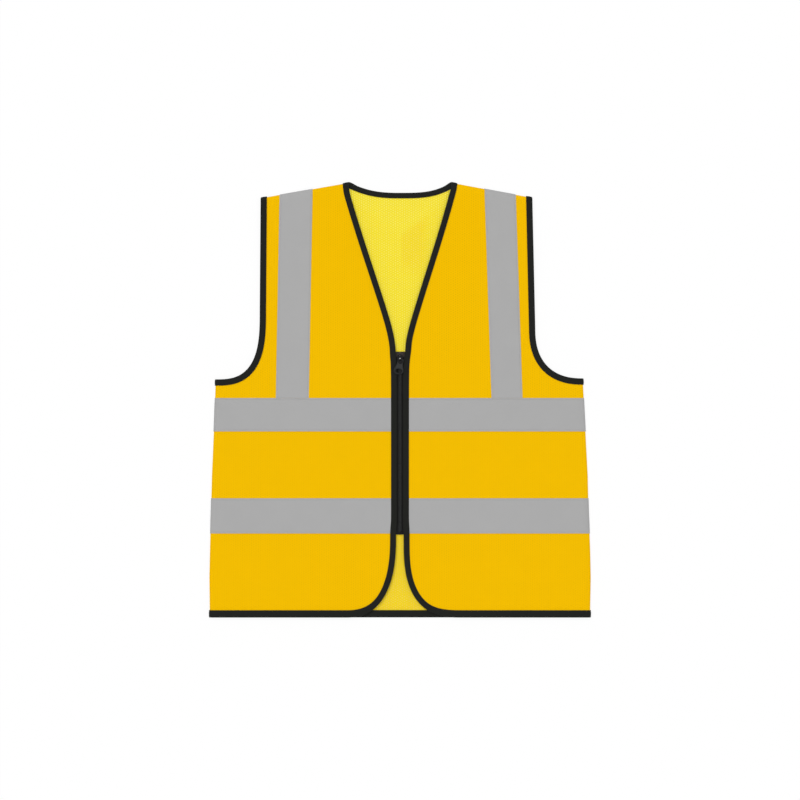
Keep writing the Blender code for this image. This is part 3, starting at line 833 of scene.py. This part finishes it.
def neck_line():
    """Finished back neck from over the left shoulder to over the right one."""
    halves = {}
    for side, (half_width, squareness) in NECK_SIDES.items():
        points = [Vector((side * 1e-6, NECK_LOW))]  # just on its own side of the centre
        while past_shoulder(points[-1]) < TURN:
            x = abs(points[-1].x) + 1.0
            points.append(Vector((side * x, NECK_LOW + NECK_DEPTH * (x / half_width) ** squareness)))
        halves[side] = points
    return list(reversed(halves[LEFT][1:])) + halves[RIGHT]


def hem_line():
    return [seam_point(side, 0.0) for side in SIDES]


def seam_way(point):
    """Direction along the seam that a point is nearest to, downwards or towards the arm."""
    side = side_of(point)
    if past_shoulder(point) > past_side(point):
        return shoulder_axis(side)[1]
    slope = (side_axis(side, point.y + 1.0) - side_axis(side, point.y - 1.0)) / 2.0
    return Vector((side * slope, 1.0))


def edge_of(line, side_of_cloth):
    """Stations of (point, inward) on a finished edge. At its ends inward follows the seams."""
    points = spaced(line)
    stations = []
    for i, point in enumerate(points):
        travel = (points[min(i + 1, len(points) - 1)] - points[max(i - 1, 0)]).normalized()
        inward = Vector((-travel.y, travel.x)) * side_of_cloth
        way = seam_way(point)
        if way.dot(inward) < 0:
            way = -way
        leaning = inward.lerp(way, ease(past_seams(point) / SEAM_LEAN + 1))
        stations.append((point, leaning / leaning.dot(inward)))
    return stations


def raw(edge):
    """The knit's cut edge inside a finished edge's binding."""
    return [point + inward * RAW_EDGE for point, inward in edge]


def side_cut(side):
    """The cut edge at the side seam, upwards."""
    return [seam_point(side, NET * i) for i in range(1, int(UNDERARM[side] / NET))]


# ---------------------------------------------------------------- knit panels

def inner_points(outline):
    """An even staggered net of points inside an outline, and rows of points along the seams."""
    tree = KDTree(len(outline))
    for i, point in enumerate(outline):
        tree.insert((*point, 0.0), i)
    tree.balance()
    (low_x, high_x), (_, high_y) = (limits(outline, axis) for axis in (X, Y))
    wanted = []
    for row in range(int(high_y / (NET * NET_ROW)) + 1):
        x = low_x + (NET / 2 if row % 2 else 0.0)
        while x < high_x:
            point = Vector((x, row * NET * NET_ROW))
            if past_seams(point) < -ROLL - NET / 2:
                wanted.append(point)
            x += NET
    for past in SEAM_ROWS:
        for side in SIDES:
            wanted += [seam_point(side, NET * i, past) for i in range(math.ceil(UNDERARM[side] / NET))]
            neck, along, outward_way = shoulder_axis(side)
            for step in range(int(SHOULDER_ROWS / NET)):
                wanted.append(neck + along * (step * NET) + outward_way * past)
    return [point for point in wanted if tree.find((*point, 0.0))[2] > NET * NET_CLEAR]


def limits(outline, axis):
    """Lowest and highest value of an outline on one axis."""
    values = [point[axis] for point in outline]
    return min(values), max(values)


def panel(name, outline, layer, finishes):
    """A knit panel: its net of faces at two heights, with a wall round the cut edge."""
    loop = [(i, (i + 1) % len(outline)) for i in range(len(outline))]
    points, _, faces, *_ = delaunay_2d_cdt(outline + inner_points(outline), loop, [], INSIDE, NEARNESS)
    shape = Shape()
    low, high = ([shape.add(lay(p, height, layer), p) for p in points] for height in KNIT)
    used = {}
    for face in faces:
        shape.face(tuple(high[i] for i in face), 0)
        shape.face(tuple(low[i] for i in reversed(face)), 1)
        for start, end in zip(face, face[1:] + face[:1]):
            used.setdefault(frozenset((start, end)), []).append((start, end))
    for sharing in used.values():
        if len(sharing) == 1:
            start, end = sharing[0]
            shape.face((high[end], high[start], low[start], low[end]), 0)
    return shape.build(name, finishes)


def area_of(outline):
    """Flat area of a closed outline, in square metres."""
    pairs = zip(outline, outline[1:] + outline[:1])
    return abs(sum(a.x * b.y - b.x * a.y for a, b in pairs)) / 2 * MM * MM


def declare(outline):
    area_of(outline)


# ---------------------------------------------------------------- strips: bindings and tapes

def swept(name, edge, section_at, layer, material, turned=False):
    """A strip on an edge's stations. A section is a ring of (distance inward, height)."""
    shape = Shape()
    rings, gone = [], 0.0
    for i, (point, inward) in enumerate(edge):
        gone += (point - edge[i - 1][0]).length if i else 0.0
        ring = []
        for n, height in section_at(point):
            cut = (gone, n) if turned else (n, gone)
            ring.append((lay(point + inward * n, height, layer), cut))
        rings.append(ring)
    shape.sweep(rings)
    return shape.build(name, [material])


def fold_skin(n, width):
    """How far a binding's face bulges at a distance from its finished edge."""
    crown = FOLD_CROWN * math.sin(math.pi * min(n / width, 1.0))
    return crown - FOLD_DIP * math.exp(-((n - width + SEW_IN) / FOLD_DIP_HALF) ** 2)


def fold_section(width):
    """Across a folded binding, round its outside and back along its inside."""
    middle, half = (FOLD_OUT + FOLD_IN) / 2, (FOLD_OUT - FOLD_IN) / 2
    outer = [(width * share, half + fold_skin(width * share, width)) for share in FOLD_ACROSS]
    outer[0] = (width, half - FOLD_WALL * FOLD_RAW)
    for turn in FOLD_TURNS:
        across, up = squarish(math.radians(90 - turn), FOLD_SQUARENESS)
        outer.append((FOLD_ROUND * (1 - across), (half + fold_skin(FOLD_ROUND, width)) * up))
    section = [(n, middle + rise) for n, rise in outer] + [(0.0, middle)]
    section += [(n, middle - rise) for n, rise in reversed(outer)]
    inside = half - FOLD_WALL
    section += [(width, middle - inside), (FOLD_WALL, middle - inside)]
    return section + [(FOLD_WALL, middle + inside), (width, middle + inside)]


def front_width(point):
    """Front binding width, which grows to the hem's over the last of the lower corner."""
    start, length = (share * CORNER[side_of(point)][1] for share in HEM_GROWTH)
    high, fall = HEM_GROWTH_HIGH
    growth = ease((abs(point.x) - start) / length) * ease((high - point.y) / fall)
    return BINDING + (HEM_BINDING - BINDING) * growth


def neck_width(point):
    """Back neck binding width, which narrows to go under the front bindings."""
    start, length, depth = NECK_TAPER[side_of(point)]
    return NECK_BINDING - depth * ease((abs(point.x) - start) / length)


def tape_section(width):
    """Across a tape: its face dips a little along each row of stitches."""
    low, high = TAPE
    face = []
    for n in (*TAPE_ACROSS, width / 3):
        dip = TAPE_DIP * math.exp(-((n - TAPE_SEW_IN) / TAPE_DIP_HALF) ** 2)
        face.append((n, high - dip - (TAPE_CORNER if n == 0.0 else 0.0)))
    face += [(width - n, height) for n, height in reversed(face)]
    return face + [(width, low), (0.0, low)]


def tape_stations(first, second, width):
    """Stations of a tape between two straight edges, given as (start, end)."""
    points = spaced(list(first))
    length = (first[1] - first[0]).length
    stations = []
    for point in points:
        partner = second[0].lerp(second[1], (point - first[0]).length / length)
        stations.append((point, (partner - point) / width))
    return stations


def band_stations(side, bottom, top, inner):
    edges = [(Vector((side * inner, y)), seam_point(side, y)) for y in (bottom, top)]
    return tape_stations(*edges, top - bottom)


def back_band_stations(bottom, top):
    """Both halves in one run, from the left side seam to the right one."""
    left = band_stations(LEFT, bottom, top, 0.0)
    return list(reversed(left)) + band_stations(RIGHT, bottom, top, 0.0)[1:]


def brace_stations(side, bottom):
    low_inner, high_inner, width = BRACES[side]
    shoulder_y = SHOULDER[side][0][1]
    edges = []
    for offset in (0.0, width):
        start = Vector((side * (low_inner + offset), bottom))
        slope = side * (high_inner - low_inner) / (shoulder_y - bottom)
        line = to_shoulder(lambda y: Vector((start.x + slope * (y - bottom), y)), bottom)
        edges.append((start, line[-1]))
    return tape_stations(*edges, width)


# ---------------------------------------------------------------- stitches

def stitch_row(shape, edge, inset_at, height, layer, outward_way=1):
    """A row of lock stitches along an edge's stations, sunk a little at both ends."""
    feet, ups = [], []
    for point, inward in edge:
        spot = point + inward * inset_at(point)
        feet.append(lay(spot, height, layer))
        ups.append((lay(spot, height + outward_way * STITCH_LIFT, layer) - feet[-1]).normalized())
    lengths = [0.0]
    for start, end in zip(feet, feet[1:]):
        lengths.append(lengths[-1] + (end - start).length / MM)
    half_width, half_height = THREAD_HALF
    at, index = STITCH_GAP, 0
    while at + STITCH < lengths[-1] - STITCH_GAP:
        rings = []
        for share, size in STITCH_SHAPE:
            where = at + share * STITCH
            while lengths[index + 1] < where:
                index += 1
            part = (where - lengths[index]) / (lengths[index + 1] - lengths[index])
            up = ups[index].lerp(ups[index + 1], part)
            foot = feet[index].lerp(feet[index + 1], part) + up * (size - 1.0) * half_height * MM
            aside = (feet[index + 1] - feet[index]).normalized().cross(up)
            halves = (half_width * size, half_height * size)
            rings.append(ring_round(foot, aside, up, halves, THREAD_SIDES, where, start=0.5))
        shape.sweep(rings)
        at += STITCH + STITCH_GAP


def binding_stitches(shape, edge, width_at, layer):
    """Both faces of a binding: the outer row and the row inside the garment."""
    def inset(point):
        return width_at(point) - SEW_IN

    rise = fold_skin(BINDING - SEW_IN, BINDING) + THREAD_PROUD
    stitch_row(shape, edge, inset, FOLD_OUT + rise, layer)
    stitch_row(shape, edge, inset, FOLD_IN - rise, layer, outward_way=-1)


def tape_stitches(shape, stations, width, layer):
    height = TAPE[1] - TAPE_DIP + THREAD_PROUD
    for inset in (TAPE_SEW_IN, width - TAPE_SEW_IN):
        stitch_row(shape, stations, lambda point, n=inset: n, height, layer)


# ---------------------------------------------------------------- zip

def zip_cloth(side, material):
    """One woven tape, which goes round the slider's post."""
    near, far = ZIP_CLOTH_EDGES
    low, high = ZIP_CLOTH
    spread_low, spread_high = (SLIDER_LOW + up for up in POST_SPAN)
    across, along = ZIP_CLOTH_NET
    shape = Shape()
    rings = []
    for step in range(along + 1):
        y = ZIP_LOW + (ZIP_HIGH - ZIP_LOW) * step / along
        parted = ease((y - spread_low) / TAPE_PARTING + 1) * ease((spread_high - y) / TAPE_PARTING + 1)
        inner = near + (TAPE_SPREAD - near) * parted
        xs = [inner + (far - inner) * i / across for i in range(across + 1)]
        ring = [(x, high) for x in xs] + [(x, low) for x in reversed(xs)]
        rings.append([(place(side * x, y, MIDDLE + h), (x, y)) for x, h in ring])
    shape.sweep(rings)
    return shape.build(f"zip_cloth_{SIDES[side]}", [material])


def tube(shape, path, radius_at, sides, finish=0, closed=False):
    """A round tube along a path of places in metres."""
    rings, gone = [], 0.0
    up = Vector((0.0, 0.0, 1.0))
    for i, centre in enumerate(path):
        before = path[i - 1] if i or closed else centre
        after = path[(i + 1) % len(path)] if i + 1 < len(path) or closed else centre
        travel = (after - before).normalized()
        gone += (centre - before).length / MM
        aside = travel.cross(up).normalized()
        up = aside.cross(travel)
        rings.append(ring_round(centre, aside, up, (radius_at(i),) * 2, sides, gone))
    shape.sweep(rings, finish, closed)


def coil_path(side):
    """The centre of one coil's wire, squarish in section, half a pitch on from the other coil."""
    middle, half = (COIL_OUTER + COIL_INNER) / 2, (COIL_OUTER - COIL_INNER) / 2
    low, high = COIL_FLOORS
    start = CHAIN_LOW + COIL_PITCH * COIL_START[side]
    turns = int((CHAIN_HIGH - start) / COIL_PITCH)
    path, heads = [], []
    for step in range(turns * COIL_STEPS + 1):
        turn = 2 * math.pi * step / COIL_STEPS
        across, up = squarish(turn, COIL_SQUARENESS)
        floor = (low + high) / 2 + (high - low) / 2 * up
        path.append(place(side * (middle - half * across), start + COIL_PITCH * step / COIL_STEPS, floor))
        heads.append(1.0 + COIL_HEAD * max(0.0, math.cos(turn)) ** 3)
    return path, heads


def zip_coils(nylon, thread):
    """Both coils, closed, with the sewing rows that hold them to their tapes."""
    shape = Shape()
    step_length = COIL_PITCH / 4
    steps = int((CHAIN_HIGH - CHAIN_LOW - 2 * SEAM_END) / step_length)
    for side in SIDES:
        path, heads = coil_path(side)
        tube(shape, path, lambda i: COIL_WIRE * heads[i], COIL_SIDES)
        for across in COIL_SEAMS:
            row = []
            for step in range(steps + 1):
                floor = COIL_FLOORS[1] + COIL_WIRE - SEAM_SUNK + SEAM_WAVE * math.cos(math.pi / 2 * step)
                row.append(place(side * across, CHAIN_LOW + SEAM_END + step * step_length, floor))
            tube(shape, row, lambda i: SEAM_THREAD, SEAM_SIDES, finish=1)
    return shape.build("zip_coils", [nylon, thread], sharp=80.0)


def chaikin(outline):
    """A closed outline with its corners cut round, in two rounds."""
    for _ in range(2):
        softer = []
        for start, end in zip(outline, outline[1:] + outline[:1]):
            softer += [start.lerp(end, 0.25), start.lerp(end, 0.75)]
        outline = softer
    return outline


def add_plate(shape, outlines, floors, rounding, matrix=TO_HEM):
    """Add a plate with rounded rims to a shape. Its first outline is its edge, others are holes."""
    low, high = floors
    curve = bpy.data.curves.new("plate", "CURVE")
    curve.dimensions = "2D"
    curve.fill_mode = "BOTH"
    curve.extrude = ((high - low) / 2 - rounding) * MM
    curve.bevel_depth = rounding * MM
    curve.bevel_resolution = 3
    curve.offset = -rounding * MM
    for outline in outlines:
        spline = curve.splines.new("POLY")
        spline.points.add(len(outline) - 1)
        for spot, point in zip(spline.points, outline):
            spot.co = (point.x * MM, point.y * MM, 0.0, 1.0)
        spline.use_cyclic_u = True
    holder = linked("plate", curve)
    bpy.context.view_layer.update()
    mesh = bpy.data.meshes.new_from_object(holder.evaluated_get(bpy.context.evaluated_depsgraph_get()))
    matrix = matrix @ Matrix.Translation((0.0, 0.0, (low + high) / 2 * MM))
    start = len(shape.points)
    for vertex in mesh.vertices:
        shape.add(matrix @ vertex.co, (vertex.co.x / MM, vertex.co.y / MM))
    for polygon in mesh.polygons:
        shape.face(tuple(start + i for i in polygon.vertices))
    bpy.data.objects.remove(holder)
    bpy.data.curves.remove(curve)
    bpy.data.meshes.remove(mesh)


def box_outline(x0, x1, y0, y1):
    return chaikin([Vector(p) for p in ((x0, y0), (x1, y0), (x1, y1), (x0, y1))])


def mirrored(right):
    """A closed outline from its right half."""
    return right + [Vector((-p.x, p.y)) for p in reversed(right)]


def shield(inset):
    """The slider's outline, in cut millimetres."""
    length = SLIDER_HIGH - SLIDER_LOW
    right = [Vector((SLIDER_HALF * w - inset, SLIDER_LOW + length * up)) for w, up in SLIDER_SHAPE]
    return chaikin(mirrored(right))


def zip_slider(enamel, worn):
    """Slider body: two wings, post, flanges, and the bail over the pull tab's bar."""
    shape = Shape()
    for inset, floors, rounding in SLIDER_WINGS:
        add_plate(shape, [shield(inset)], floors, rounding)
    for xs, along, floors, rounding in SLIDER_BLOCKS:
        add_plate(shape, [box_outline(*xs, *(SLIDER_LOW + up for up in along))], floors, rounding)
    rings = bail_rings()
    rubbed = len(rings) - BAIL_RUBBED
    shape.sweep(rings[:rubbed + 1])
    shape.sweep(rings[rubbed:], finish=1)
    return shape.build("slider_body", [enamel, worn], sharp=38.0)


def bail_rings():
    """A half hoop across the bar, on straight legs that stand in the top wing."""
    hinge, across = Vector(HINGE["pos_m"]), Vector((1.0, 0.0, 0.0))
    sections = [(180, up) for up in BAIL_LEG] + [(turn, 0.0) for turn in range(180, -1, -BAIL_TURN)]
    sections += [(0, up) for up in reversed(BAIL_LEG)]
    rings = []
    for turn, up in sections:
        out = Vector((0.0, *heading(turn)))
        centre = hinge + (out * BAIL_RADIUS + Vector((0.0, 0.0, up))) * MM
        rings.append(ring_round(centre, across, out, BAIL_HALF, BAIL_SIDES, turn, BAIL_SQUARENESS))
    return rings


def tab_half_width(down):
    """Half width of the pull tab at a distance below its bar."""
    top, waist, waist_down = TAB_NECK
    ring_half, ring_reach = RING_OUTER
    if down > RING_AT:
        return ring_half * math.sqrt(max(0.0, 1 - ((down - RING_AT) / ring_reach) ** 2))
    neck = top + (waist - top) * ease(down / waist_down)
    return neck + (ring_half - waist) * ease((down - waist_down) / (RING_AT - waist_down))


def tab_outline(inset):
    """The pull tab's outline in its own frame, with the bar on the origin."""
    reach_down = RING_OUTER[1]
    downs = [-TAB_HEAD] + [RING_AT * i / TAB_STEPS for i in range(1, TAB_STEPS + 1)]
    downs += [RING_AT + reach_down * heading(turn)[1] for turn in range(RING_TURN, 90, RING_TURN)]
    right = [Vector((tab_half_width(max(down, 0.0)), -down)) for down in downs]
    outline = mirrored(right)
    outline.insert(len(right), Vector((0.0, -RING_AT - reach_down)))
    return inset_by(outline, inset)


def inset_by(outline, inset):
    """A closed clockwise outline moved inwards."""
    moved = []
    for i, point in enumerate(outline):
        travel = (outline[(i + 1) % len(outline)] - outline[i - 1]).normalized()
        moved.append(point + Vector((travel.y, -travel.x)) * inset)
    return moved


def ring_hole(grow):
    across, down = RING_HOLE
    ways = [heading(turn) for turn in range(0, 360, RING_HOLE_TURN)]
    return [Vector(((across + grow) * x, (down + grow) * y - RING_AT)) for x, y in ways]


def pull_tab(material):
    """Cast tab: a thin plate with a round bead along its rim and round the ring's hole."""
    tilt = math.atan2(-HINGE["axis"][1], -HINGE["axis"][0])
    frame_of_tab = Matrix.Translation(Vector(HINGE["pos_m"])) @ Matrix.Rotation(tilt, 4, "Z")
    frame_of_tab = frame_of_tab @ Matrix.Translation((TAB_SLIDE * MM, 0.0, 0.0))

    def placed(spots):
        return [frame_of_tab @ (Vector((*spot, 0.0)) * MM) for spot in spots]

    window = chaikin(mirrored([Vector((half_width, -down)) for half_width, down in TAB_WINDOW]))
    outlines = [tab_outline(BEAD * 0.5), ring_hole(BEAD * 0.5), window]
    shape = Shape()
    add_plate(shape, outlines, (-TAB_HALF, TAB_HALF), TAB_ROUND, frame_of_tab)
    for outline in (tab_outline(BEAD), ring_hole(BEAD)):
        tube(shape, placed(outline), lambda i: BEAD, BEAD_SIDES, closed=True)
    ends = (-BAR_HALF, BAR_END - BAR_HALF, BAR_HALF - BAR_END, BAR_HALF)
    radii = [BAR_RADIUS * share for share in (BAR_END_SHARE, 1.0, 1.0, BAR_END_SHARE)]
    tube(shape, placed((x, 0.0) for x in ends), lambda i: radii[i], BAR_SIDES)
    return shape.build("pull_tab_cast", [material], sharp=45.0)


def end_stop(name, node, material):
    """A crimped stop in its CAD solid's space."""
    across, along, floors = (reach(node, axis) for axis in (X, Y, Z))
    shape = Shape()
    add_plate(shape, [box_outline(*across, *along)], floors, STOP_ROUND)
    return shape.build(name, [material], sharp=45.0)


# ---------------------------------------------------------------- the vest

def make_vest():
    """Every piece of the vest. The pieces that are sewn on each panel are gathered in lists, which nothing
    reads.
    """
    fronts = {side: edge_of(front_line(side), -side) for side in SIDES}
    arms = {side: edge_of(arm_line(side), side) for side in SIDES}
    neck, hem = edge_of(neck_line(), -1), edge_of(hem_line(), 1)
    on_back = []
    sewn_on = {side: {FRONT: [], BACK: on_back} for side in SIDES}  # both sides share the back
    black_thread = thread_finish("thread_black", THREAD_BLACK)
    grey_thread = thread_finish("thread_grey", THREAD_GREY)

    on_bindings = make_bindings(fronts, arms, neck, hem, sewn_on)
    on_tapes = make_tapes(sewn_on)
    finished(on_bindings.build("stitches_on_bindings", [black_thread]), "vest", "binding")
    finished(on_tapes.build("stitches_on_tapes", [grey_thread]), "vest", "tape")
    make_panels(fronts, arms, neck, hem)
    make_zip(black_thread)


def make_bindings(fronts, arms, neck, hem, sewn_on):
    """The folded bindings. Returns their stitches."""
    bias = rib_finish("bias_tape", BINDING_BLACK, 0.7, 0.6)
    stitches = Shape()

    def bind(place_name, edge, width_at, side, layer):
        def section_at(point):
            return fold_section(width_at(point))

        edging = swept(f"edging_{place_name}", edge, section_at, layer, bias, turned=True)
        sewn_on[side][layer].append(finished(edging, "vest", "binding", f"binding_{place_name}"))
        binding_stitches(stitches, edge, width_at, layer)

    for side, side_name in SIDES.items():
        bind(f"front_{side_name}", fronts[side], front_width, side, FRONT)
        for layer, layer_name in LAYERS.items():
            bind(f"armhole_{layer_name}_{side_name}", arms[side], lambda p: ARM_BINDING, side, layer)
    bind("neck_back", neck, neck_width, LEFT, BACK)
    bind("hem_back", hem, lambda p: HEM_BINDING, LEFT, BACK)
    return stitches


def make_tapes(sewn_on):
    """The reflective bands and braces. Returns their stitches."""
    tape = tape_finish()
    stitches = Shape()

    def sew(place_name, stations, width, side, layer, turned=False):
        section = tape_section(width)
        band = swept(f"reflective_{place_name}", stations, lambda p: section, layer, tape, turned)
        sewn_on[side][layer].append(finished(band, "vest", "tape", f"tape_{place_name}"))
        tape_stitches(stitches, stations, width, layer)

    for level in ("lower", "upper"):
        bottom, top = reach(f"tape_{level}_back", Y)
        for side, side_name in SIDES.items():
            stations = band_stations(side, bottom, top, ZIP_EDGE + BINDING - TAPE_TUCK)
            sew(f"{level}_front_{side_name}", stations, top - bottom, side, FRONT, turned=True)
        sew(f"{level}_back", back_band_stations(bottom, top), top - bottom, LEFT, BACK, turned=True)
    for side, side_name in SIDES.items():
        stations = brace_stations(side, top + TAPE_CLEAR)
        for layer, layer_name in LAYERS.items():
            sew(f"brace_{layer_name}_{side_name}", stations, BRACES[side][2], side, layer)
    return stitches


def make_panels(fronts, arms, neck, hem):
    """The knit panels, and with each front its zip cloth and top stop."""
    knits = {}
    for layer, name in LAYERS.items():
        outer = knit_finish(f"knit_gold_{name}", gold_yarn, GOLD_DARK, GOLD_PAINTED_HALO, layer)
        inner = knit_finish(f"knit_lemon_{name}", lemon_yarn, LEMON_DARK, LEMON_PAINTED_HALO, layer)
        knits[layer] = [outer, inner]
    woven = rib_finish("zip_weave", ZIP_BLACK, 0.55, 0.0, ZIP_RUBBED)
    stop_metal = enamel_finish("stop_metal", STOP_METAL, 0.1)

    side_cuts = {side: side_cut(side) + raw(arms[side]) for side in SIDES}
    back_cut = raw(hem) + side_cuts[RIGHT] + list(reversed(raw(neck))) + list(reversed(side_cuts[LEFT]))
    back = finished(panel("knit_back", back_cut, BACK, knits[BACK]), "vest", "mesh", "back_panel")
    declare(back_cut)
    for side, name in SIDES.items():
        cloth = finished(zip_cloth(side, woven), "vest", "zip_cloth", f"zip_tape_{name}")
        cut = raw(fronts[side]) + list(reversed(side_cuts[side]))
        front = panel(f"knit_front_{name}", cut, FRONT, knits[FRONT])
        finished(front, "vest", "mesh", f"front_panel_{name}")
        declare(cut)
        stop = end_stop(f"top_stop_{name}", f"zip_top_stop_{name}", stop_metal)
        finished(stop, "vest", "slider", f"zip_top_stop_{name}")


def make_zip(thread):
    """The closed chain, its bottom stop, the slider and the pull tab."""
    enamel = enamel_finish("slider_enamel", ENAMEL, 0.1)
    tab_enamel = enamel_finish("tab_enamel", TAB_ENAMEL, 0.2)
    worn = enamel_finish("worn_metal", WORN_METAL, 0.8)
    finished(zip_coils(nylon_finish(), thread), "vest", "zip_teeth", "zip_chain")
    finished(end_stop("bottom_stop", "zip_bottom_stop", enamel), "vest", "slider", "zip_bottom_stop")
    finished(zip_slider(enamel, worn), "vest", "slider", "zip_slider")
    finished(pull_tab(tab_enamel), "pull_tab", "slider", "zip_pull_tab")


# ---------------------------------------------------------------- studio

def make_floor():
    mesh = bpy.data.meshes.new("floor")
    corners = [(x * FLOOR_HALF, y * FLOOR_HALF, 0) for x, y in ((-1, -1), (1, -1), (1, 1), (-1, 1))]
    mesh.from_pydata(corners, [], [(0, 1, 2, 3)])
    floor = linked("floor", mesh)
    finish = Finish("floor_white", base_color=WHITE, roughness=1.0, specular_ior_level=0.0)
    glow = finish.node("ShaderNodeEmission", {}, {"Color": WHITE, "Strength": 1.0})
    shader = Value(finish, finish.shader.outputs[0])
    share = finish.seen_directly() * FLOOR_GLOW
    mixed = finish.node("ShaderNodeMixShader", {}, {0: share, 1: shader, 2: glow})
    finish.feed(finish.tree.nodes["Material Output"].inputs["Surface"], mixed)
    mesh.materials.append(finish.material)


def make_world():
    world = bpy.data.worlds.new("studio")
    bpy.context.scene.world = world
    world.use_nodes = True
    world.node_tree.nodes.clear()
    nodes = Nodes(world.node_tree)
    soft, white = (nodes.node("ShaderNodeBackground", {}, {"Color": WHITE, "Strength": strength})
                   for strength in (AMBIENT, 1.0))
    mixed = nodes.node("ShaderNodeMixShader", {}, {0: nodes.seen_directly(), 1: soft, 2: white})
    nodes.make("ShaderNodeOutputWorld", {}, {"Surface": mixed})


def make_lamps():
    for name, azimuth, elevation, level, softness in LAMPS:
        level_reach, rise = heading(elevation)
        x, y = heading(azimuth)
        away = Vector((x * level_reach, y * level_reach, rise))
        lamp = bpy.data.lights.new(name, "SUN")
        lamp.energy = level * math.pi / rise
        lamp.angle = math.radians(softness)
        holder = linked(name, lamp)
        holder.location = away * LAMP_AWAY
        holder.rotation_mode = "QUATERNION"
        holder.rotation_quaternion = away.to_track_quat("Z", "Y")


def make_camera():
    """Straight above the middle of the laid vest, with the hem towards the viewer."""
    data = bpy.data.cameras.new("camera")
    data.sensor_width = SENSOR
    data.lens = SENSOR * CAMERA_HEIGHT / VIEW_WIDTH
    camera = linked("camera", data)
    camera.location = (0.0, 0.0, CAMERA_HEIGHT + MIDDLE * MM * 2)
    bpy.context.scene.camera = camera


make_vest()
make_floor()
make_world()
make_lamps()
make_camera()
bpy.context.scene.view_settings.view_transform = "Standard"
